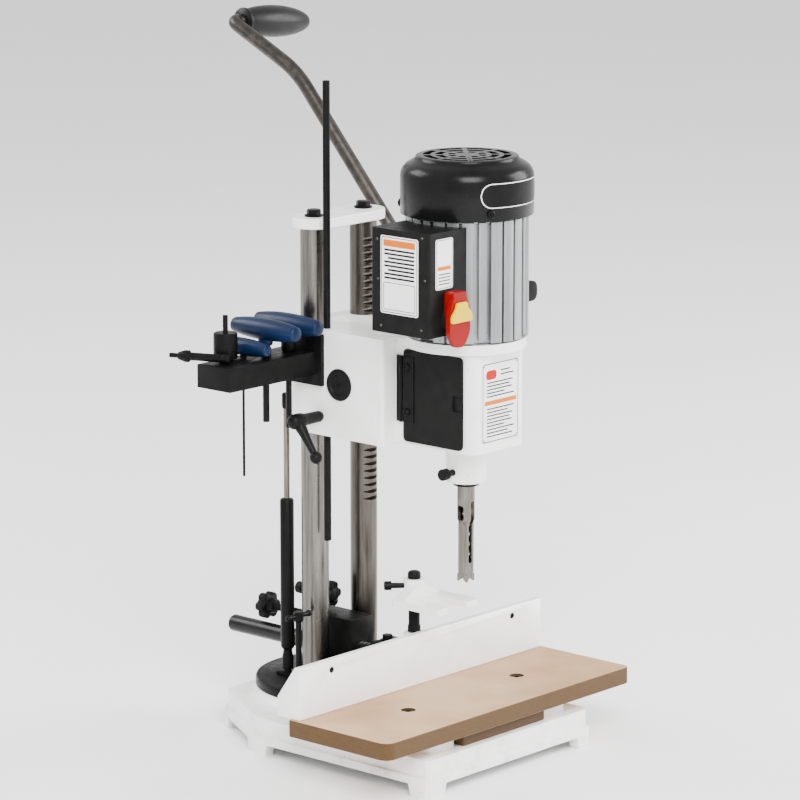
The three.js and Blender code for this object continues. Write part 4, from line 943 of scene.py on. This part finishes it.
def build_door():
    s = Span("access_door")
    face = s.x0 + 1
    inner = s.x1
    door = extrude("chuck_door", rectangle(s.y0 + 2, s.y1, s.z0, s.z1, 6, 12), face, inner, "X")
    finger = extrude("finger", rectangle(s.y0 + 1, s.y0 + 15, 397, 414, 2.5), face - 2, face + 2.4, "X")
    cut(door, finger)
    stand_in(soften(door, 0.7), BLACK_PLASTIC, "access_door")
    keep("door_hinge", BLACK_STEEL, 0.3)
    leaf = extrude("hinge_leaf", rectangle(34, s.y1 - 0.5, 376, 448, 1.2), face - 1.2, face, "X")
    extra(soften(leaf, 0.3), BLACK_STEEL, "access_door")
    profile = [
        (0, face - 3), (1.9, face - 3), (1.9, face - 3.6), (2.9, face - 3.6), (4, face - 2.6),
        (4.2, face - 1.4), (0, face - 1.4),
    ]
    screws = [lathe("screw", profile, (0, 43, z), "X", MEDIUM) for z in (388, 437)]
    extra(smooth(gather("hinge_screws", screws), 40), BLACK_STEEL, "access_door")


def build_chisel_screw():
    """Knurled thumbscrew in the left of the nose."""
    s = Span("chisel_screw")
    radius = (s.y1 - s.y0) / 2
    head = extrude("knurl", lobed(radius, 0.9, 20, (s.y, s.z), 6), s.x0, s.x0 + 9, "X")
    neck = radius - 2.2
    shank = lathe("shank", [
        (0, s.x0 + 8), (neck, s.x0 + 8), (neck, s.x0 + 12), (3.4, s.x0 + 12), (3.4, s.x1), (0, s.x1),
    ], (0, s.y, s.z), "X", MEDIUM)
    knob = gather("nose_thumbscrew", [head, shank])
    stand_in(smooth(knob), BLACK_STEEL, "chisel_screw")


def build_chisel():
    """Hollow mortise chisel: square blade with a slot, a round shank, and its collar."""
    s = Span("hollow_chisel")
    half, tip_half = 6.1, 6.7
    tip, shoulder, blade = s.z0, s.z0 + 8, s.z0 + 67.5
    square = rectangle(-half, half, -half, half, 0.7, 3)
    body = extrude("blade", square, shoulder - 3.5, blade + 2)
    wide = extrude("wide", rectangle(-tip_half, tip_half, -tip_half, tip_half, 0.5, 2), tip, shoulder)
    shank = lathe("shank", [
        (0, blade - 6), (half, blade - 6), (9.5, blade + 1), (9.5, s.z1), (0, s.z1),
    ], segments=MEDIUM)
    join(body, wide, shank)
    notch = [(-tip_half + 0.5, tip - 1), (tip_half - 0.5, tip - 1), (0, tip + 5.5)]
    cutters = [
        cylinder("bore", 5.2, tip - 2, s.z1 + 4, segments=MEDIUM),
        extrude("notch", notch, -12, 12, "Y"),
        extrude("notch", notch, -12, 12, "X"),
        extrude("slot", rectangle(-2.6, 2.6, tip + 20, tip + 89, 2.5), -12, 0, "Y"),
        extrude("window", rectangle(-4, 4, tip + 68, tip + 84, 3), -12, 0, "X"),
    ]
    cut(body, *cutters)
    body.name = "mortise_chisel"
    stand_in(soften(body, 0.25, 35, 2), CHISEL_STEEL, "hollow_chisel")
    keep("chisel_bushing", BLACK_STEEL, 0.3)


# ---- handle
def build_handle():
    keep("feed_pinion", RACK_STEEL, 0.2)
    hub = Span("handle_hub")
    joint = next(j for j in RECORD["behaviour"]["joints"] if j["name"] == "grip_spin")
    elbow = (Vector(joint["pos_m"]) - ORIGIN) / MM
    across = Vector(joint["axis"])
    tilt = math.degrees(math.asin(-across.z))
    centre = Vector((elbow.x, hub.y, hub.z))
    near, far = math.radians(48.8), math.radians(26.2)
    inner = Vector((0, math.cos(near), math.sin(near)))
    outer = Vector((0, math.cos(far), math.sin(far)))
    gap = elbow - centre
    reach = (gap.y * outer.z - gap.z * outer.y) / (inner.y * outer.z - inner.z * outer.y)
    bends = [(centre + inner * reach, inner, outer, 24), (elbow, outer, across, 13)]
    points = [centre + inner * 15]
    for corner, before, after, size in bends:
        points += bend(corner - before * size, corner, corner + after * size, 16)
    points.append(elbow + across * 16)
    bar = sweep("lever_bar", points, [8.0] * len(points), 48)
    pin = lathe("pin", [(0, 13), (5, 13), (5, 119), (4.2, 120), (0, 120)], elbow, "X", MEDIUM)
    turn(pin, tilt, "Y", elbow)
    stand_in(smooth(gather("feed_lever", [bar, pin])), DARK_STEEL, "handle_arm")
    build_grip(elbow, tilt)
    build_hub(hub, centre)


def build_grip(elbow, tilt):
    """Turned grip with a collar at its root and a rounded end, drooping by tilt degrees."""
    start, length, steps = 18, 108, 40
    profile = [(0, start), (14.8, start), (15.4, start + 0.6), (15.4, start + 2.4), (14.8, start + 3),
               (13.1, start + 3.2)]
    for i in range(steps + 1):
        t = 0.03 + 0.95 * i / steps
        profile.append((18.8 * math.sqrt(1 - ((t - 0.44) / 0.6) ** 2), start + 3 + (length - 3) * t))
    profile += [(6.2, start + length - 0.6), (0, start + length)]
    grip = turn(lathe("lever_grip", profile, elbow, "X", 64), tilt, "Y", elbow)
    stand_in(smooth(grip, 50), DARK_GRIP, "handle_grip")


def build_hub(s, centre):
    plane = centre.x
    hub = lathe("lever_hub", [
        (0, s.x0), (20, s.x0), (21, s.x0 + 1), (21, s.x0 + 7), (19.5, s.x0 + 9), (16, s.x0 + 13),
        (16, plane - 20),
        (18.4, plane - 16), (19, plane - 14), (19, plane + 14), (18.4, plane + 16), (16.5, s.x1),
        (0, s.x1),
    ], (0, s.y, s.z), "X")
    stand_in(smooth(hub), DARK_STEEL, "handle_hub")


# ---- depth stop
def build_depth_stop():
    rod = Span("depth_rod")
    bar = lathe("stop_rod_bar", [
        (0, rod.z0), (3.2, rod.z0), (4, rod.z0 + 0.8), (4, rod.z1 - 0.8), (3.2, rod.z1), (0, rod.z1),
    ], (rod.x, rod.y, 0), segments=MEDIUM)
    stand_in(smooth(bar), BLACK_STEEL, "depth_rod")
    s = Span("depth_lock_lever")
    y, z = rod.y, s.z1 - 8.5
    outer = s.x0
    hub = lathe("lever_hub_body", [
        (0, outer), (4.6, outer), (5.6, outer + 0.8), (7.8, outer + 3), (8.5, outer + 6),
        (8.5, outer + 15),
        (7.4, outer + 19), (6.6, outer + 23), (6.2, outer + 42), (6.2, outer + 44), (5, outer + 46.5),
        (5, s.x1), (0, s.x1),
    ], (0, y, z), "X", MEDIUM)
    socket = lathe("screw_end", [
        (0, outer - 0.01), (2, outer - 0.01), (2.4, outer + 0.3), (0, outer + 0.3),
    ], (0, y, z), "X", MEDIUM)
    root = Vector((outer + 11, y - 3, z - 4))
    end = Vector((outer + 12, y - 25.6, z - 36.5))
    points = [root.lerp(end, i / 10) for i in range(11)]
    arm = sweep("arm", points, [3.8 + 3 * (1 - i / 10) ** 2 for i in range(11)], 24)
    knob = ball("knob", end, 6.8)
    lever = gather("ratchet_lever", [hub, socket, arm, knob])
    stand_in(smooth(lever, 40), BLACK_PLASTIC, "depth_lock_lever")


# ---- stowed tools
def build_tools():
    for name in ("large_key", "medium_key", "small_key"):
        build_key(name)
    keep("spare_bushing", BLACK_STEEL, 0.4)
    keep("chuck_key", BLACK_STEEL, 0.3)


def build_key(name):
    s = Span(name + "_handle")
    radius = (s.x1 - s.x0) / 2
    half = (s.y1 - s.y0) / 2
    steps = 24
    profile = [(0, -half), (radius * 0.55, -half), (radius * 0.64, -half + 0.7)]
    for i in range(steps + 1):
        t = 2 * i / steps - 1
        profile.append((radius * (1 - 0.32 * abs(t) ** 2.2), (half - 2) * t))
    profile += [(radius * 0.64, half - 0.7), (radius * 0.55, half), (0, half)]
    grip = lathe(name + "_grip", profile, (s.x, s.y, s.z), "Y", 64)
    stand_in(smooth(grip, 40), BLUE, name + "_handle")
    keep(name + "_shaft", BLACK_STEEL, 0.2)
    if name != "small_key":
        build_key_collar(name, Span(name + "_shaft").z0 + 84, s)


def build_key_collar(name, low, s):
    """Moulded neck between a key's shaft and its grip."""
    profile = [(0, low), (6.6, low), (7.4, low + 1), (8.2, low + 5), (8.4, s.z - 3), (0, s.z - 3)]
    neck = lathe(name + "_collar", profile, (s.x, s.y, 0), segments=MEDIUM)
    extra(smooth(neck), BLUE if name == "large_key" else BLACK_PLASTIC, name + "_handle")


# ---- motor
def build_motor():
    s = Span("motor_body")
    radius = s.x1
    root = 59
    bell = s.z0 + 10
    body = lathe("motor_drum", [
        (0, s.z0), (56, s.z0), (58.5, s.z0 + 1.5), (60, bell - 1), (60, bell + 1.5), (root, bell + 2),
        (root, s.z1 - 5), (radius - 4, s.z1 - 4), (radius - 4, s.z1), (55, s.z1), (55, bell),
        (9, bell),
        (9, s.z0),
    ], closed=True)
    count = 26
    step = 360 / count
    fins = []
    for i in range(count):
        narrow = i % 4 == 1
        half = 4.6 if narrow else 6.7
        fins.append(turn(motor_fin(root, radius, half, s, 3 if narrow else 0), step * i, "Z", (0, 0, 0)))
    stand_in(smooth(gather("finned_drum", [body, *fins]), 35), ALUMINIUM, "motor_body")
    keep("stator", DARK_STEEL, 0.5)
    keep("motor_shaft", BRIGHT_STEEL, 0.3)
    keep("cooling_fan", BLACK_PLASTIC, 0.3)
    build_fan_cover()


def motor_fin(root, radius, half, s, lift):
    """One wide fin of the motor's frame, its lower end cut back towards the drum."""
    foot = s.z0 + 2 + lift
    outline = rounded([
        (root - 1, -half + 0.7), (radius - 0.6, -half, 1), (radius, 0, 3), (radius - 0.6, half, 1),
        (root - 1, half - 0.7),
    ], 0.2, 4)
    fin = extrude("fin", outline, foot, s.z1 - 3)
    wedge = extrude("wedge", [(root - 3, foot - 1), (radius - 3, foot - 1), (root - 3, foot + 6)],
                    -half - 2, half + 2, "Y")
    return cut(fin, wedge)


def build_fan_cover():
    s = Span("fan_cover")
    r = s.y1 - 0.6
    wall = 2
    shell = lathe("fan_hood", [
        (r - wall, s.z0), (r - 0.2, s.z0), (r, s.z0 + 0.4), (r, s.z1 - 21), (r - 0.8, s.z1 - 17),
        (r - 2.6, s.z1 - 13),
        (r - 5.6, s.z1 - 9.6), (r - 9.5, s.z1 - 7), (57, s.z1 - 4.6), (55.4, s.z1 - 3.2),
        (54.4, s.z1 - 0.8),
        (53, s.z1), (0, s.z1), (0, s.z1 - wall), (52.6, s.z1 - wall), (r - wall - 8, s.z1 - 10),
        (r - wall - 2, s.z1 - 15), (r - wall, s.z1 - 21),
    ], closed=True)
    slots = []
    sectors = 8
    for inner, outer in ((13, 21), (26, 34), (39, 47)):
        spoke = math.degrees(4.5 / inner)
        for i in range(sectors):
            start = 360 * i / sectors + spoke / 2
            end = 360 * (i + 1) / sectors - spoke / 2
            outline = arc((0, 0), outer, start, end, 12) + arc((0, 0), inner, end, start, 12)
            slots.append(extrude("slot", outline, s.z1 - 8, s.z1 + 2))
    cut(shell, gather("slots", slots))
    stand_in(smooth(shell, 30), ENAMEL, "fan_cover")
    build_cover_plate(r, s)
    profile = [
        (0, r + 3.6), (1.2, r + 3.6), (1.5, r + 2.8), (3.2, r + 2.9), (4.4, r + 1.6), (4.5, r - 1),
        (0, r - 1),
    ]
    screws = []
    for angle in (-119, 1, 121):
        screws.append(turn(lathe("screw", profile, (0, 0, s.z0 + 8), "X", MEDIUM), angle, "Z", (0, 0, 0)))
    extra(smooth(gather("hood_screws", screws)), BLACK_STEEL, "fan_cover")


def build_cover_plate(r, s):
    """Blank oblong badge that follows the hood, outlined in white."""
    low, high = s.z0 + 14, s.z0 + 40
    start, end = -128, -52
    wrap_plate("badge_outline", r + 0.25, low, high, start, end, LABEL)
    wrap_plate("badge_field", r + 0.5, low + 1, high - 1, start + 0.9, end - 0.9, ENAMEL)


def wrap_plate(name, radius, low, high, start, end, material):
    """Oblong with round ends, wrapped round the hood."""
    half = (high - low) / 2
    mid = (high + low) / 2
    length = math.radians(end - start) * radius
    columns, rows = 60, 16
    verts, faces = [], []
    for depth in (0.0, -0.6):
        for i in range(columns + 1):
            along = length * i / columns
            from_end = min(along, length - along)
            reach = half if from_end > half else math.sqrt(max(half ** 2 - (half - from_end) ** 2, 0.01))
            angle = math.radians(start) + along / radius
            for k in range(rows + 1):
                z = mid + reach * (2 * k / rows - 1)
                rr = radius + depth
                verts.append((rr * math.cos(angle), rr * math.sin(angle), z))
    layer = (columns + 1) * (rows + 1)
    for i in range(columns):
        for k in range(rows):
            a = i * (rows + 1) + k
            b = a + rows + 1
            faces.append((a, b, b + 1, a + 1))
            faces.append((a + layer, a + 1 + layer, b + 1 + layer, b + layer))
    for i in range(columns):
        for k in (0, rows):
            a = i * (rows + 1) + k
            b = a + rows + 1
            faces.append((a, b, b + layer, a + layer))
    for i in (0, columns):
        for k in range(rows):
            a = i * (rows + 1) + k
            faces.append((a, a + 1, a + 1 + layer, a + layer))
    extra(smooth(make(name, verts, faces)), material, "fan_cover")


# ---- switch
def build_switch():
    s = Span("switch_box")
    motor = Span("motor_body").x1 + 0.5
    right = -50
    box = extrude("box", rectangle(s.x0, right, s.y0, s.y1, 4, 10), s.z0, s.z1)
    tool = cylinder("motor", motor, s.z0 - 2, s.z1 + 2)
    paddle = Span("switch_paddle")
    recess = block("recess", paddle.x0 + 2, paddle.x1 - 2, s.y0 - 1, s.y0 + 8, 494, 522)
    cut(box, tool, recess)
    box.name = "switch_enclosure"
    stand_in(soften(box, 1.2, 35), BLACK_PLASTIC, "switch_box")
    build_lid(s)
    build_side_label(s)
    build_paddle(paddle)
    keep("terminal_box", BLACK_PLASTIC, 1.6)
    keep("cord_gland", BLACK_PLASTIC, 0.4)


def build_lid(s):
    """Six cover screws and a blank label on the box's wide face."""
    face = s.x0
    profile = [
        (0, face - 0.5), (0.4, face - 0.5), (0.5, face - 0.9), (1.1, face - 0.7), (1.6, face),
        (0, face),
    ]
    places = ((27, 585), (-35, 592), (26, 543), (-39, 548), (22, 494), (-34, 495))
    screws = [lathe("screw", profile, (0, y, z), "X", 32) for y, z in places]
    extra(smooth(gather("lid_screws", screws), 50), DARK_STEEL, "switch_box")
    bottom, top = 508, 590
    label = Label("wide_label", "X", face, 0.35, "switch_box", (-30, 22, bottom, top))
    label.border("_border", 1.2, 2.4, 0.8)
    label.bars("_band", [(top - 11, (0.08, 0.92))], 7, PRINT_AMBER)
    rows = [(top - 15.8 - 4.2 * i, (0.1, 0.9 - 0.1 * (i % 3 == 2))) for i in range(8)]
    label.bars("_rules", rows, 2.1, PRINT_DARK)
    label.border("_panel", 4, 2, 0.7, bottom + 33)


def build_side_label(s):
    """Smaller blank label on the box's front."""
    bottom, top = 537, 590
    label = Label("narrow_label", "Y", s.y0, 0.35, "switch_box", (-101, -74, bottom, top))
    label.border("_border", 1, 2.2, 0.6)
    label.bars("_band", [(bottom + 20, (0.12, 0.88))], 4, PRINT_AMBER)
    rows = [(bottom + 5 + 3.4 * i, (0.16, 0.84)) for i in range(4)]
    label.bars("_rules", rows, 1.2, PRINT_DARK)


def build_paddle(s):
    """Hinged stop paddle: a narrow neck above an oval flap, and the key that locks it."""
    front = s.y1
    x = s.x
    outline = rounded([
        (x - 10, 529), (x + 10, 529), (x + 16, 514), (x + 16, 490), (x + 7, 475.5),
        (x - 7, 475.5), (x - 16, 490), (x - 16, 514),
    ], 5, 10)
    flap = extrude("flap", outline, s.y0, s.y0 + 6, "Y")
    neck = extrude("neck", rectangle(x - 10, x + 10, 506, 534, 3), s.y0 + 0.4, front, "Y")
    keyway = block("keyway", x - 7.4, x + 7.4, s.y0 - 7, front - 4, 507.6, 521.4)
    cut(join(flap, neck), keyway)
    flap.name = "stop_paddle"
    stand_in(soften(flap, 1.5, 35, 4), RED, "switch_paddle")
    key = Span("safety_key")
    outline = rounded([(x - 8, 523.5), (x + 8, 523.5), (x + 9, 518), (x + 16, 510), (x + 16, 502.5),
                       (x - 16, 502.5), (x - 16, 510), (x - 9, 518)], 2.4, 8)
    tab = extrude("tab", outline, key.y0, s.y0 - 0.3, "Y")
    stem = block("stem", x - 7, x + 7, key.y0 + 2, key.y1, 508, 521)
    stand_in(soften(join(tab, stem), 0.9, 35), YELLOW, "safety_key")


# ---- stage
def area_light(name, spot, size, power, target):
    light = bpy.data.lights.new(name, "AREA")
    light.shape = "RECTANGLE"
    light.size, light.size_y = size
    light.energy = power
    obj = place(name, light)
    obj.location = spot
    obj.rotation_euler = (Vector(target) - Vector(spot)).to_track_quat("-Z", "Y").to_euler()


def build_stage():
    size = 12
    mesh = bpy.data.meshes.new("floor")
    corners = [(-size, -size, 0), (size, -size, 0), (size, size, 0), (-size, size, 0)]
    mesh.from_pydata(corners, [], [(0, 1, 2, 3)])
    floor = place("floor", mesh)
    look = Finish("floor_paper")
    dark, light = (0.92, 0.92, 0.92), (0.94, 0.94, 0.94)
    look.use("Base Color", look.ramp(look.noise(3, 3), (0.3, dark), (0.7, light)))
    look.set(Roughness=0.9)
    dress(floor, look.material)
    world = bpy.data.worlds.new("studio")
    world.use_nodes = True
    sky = world.node_tree.nodes["Background"]
    sky.inputs["Color"].default_value = (1, 1, 1, 1)
    sky.inputs["Strength"].default_value = 1.3
    bpy.context.scene.world = world
    middle = (0, 0, 0.4)
    area_light("key", (-2.2, -2.6, 2.6), (2.0, 2.0), 300, middle)
    area_light("fill", (2.6, -2.0, 1.6), (2.0, 2.0), 190, middle)
    area_light("back", (-1.2, 2.6, 2.4), (1.8, 1.4), 90, middle)


def build_camera():
    """Camera at the front left, a little above the head of the machine."""
    azimuth = math.radians(48.38)
    elevation = math.radians(11.9)
    distance = 4.3177
    target = ORIGIN + Vector((-0.01357, 0.08269, 0.39019))
    away = Vector((
        -math.sin(azimuth) * math.cos(elevation),
        -math.cos(azimuth) * math.cos(elevation),
        math.sin(elevation),
    ))
    data = bpy.data.cameras.new("camera")
    data.sensor_width = 36
    data.lens = 180.23
    camera = place("camera", data)
    camera.location = target + away * distance
    camera.rotation_euler = (-away).to_track_quat("-Z", "Y").to_euler()
    bpy.context.scene.camera = camera


build_camera()
build_base()
build_columns()
build_fence_carrier()
build_fence()
build_head()
build_handle()
build_depth_stop()
build_tools()
build_motor()
build_switch()
build_stage()
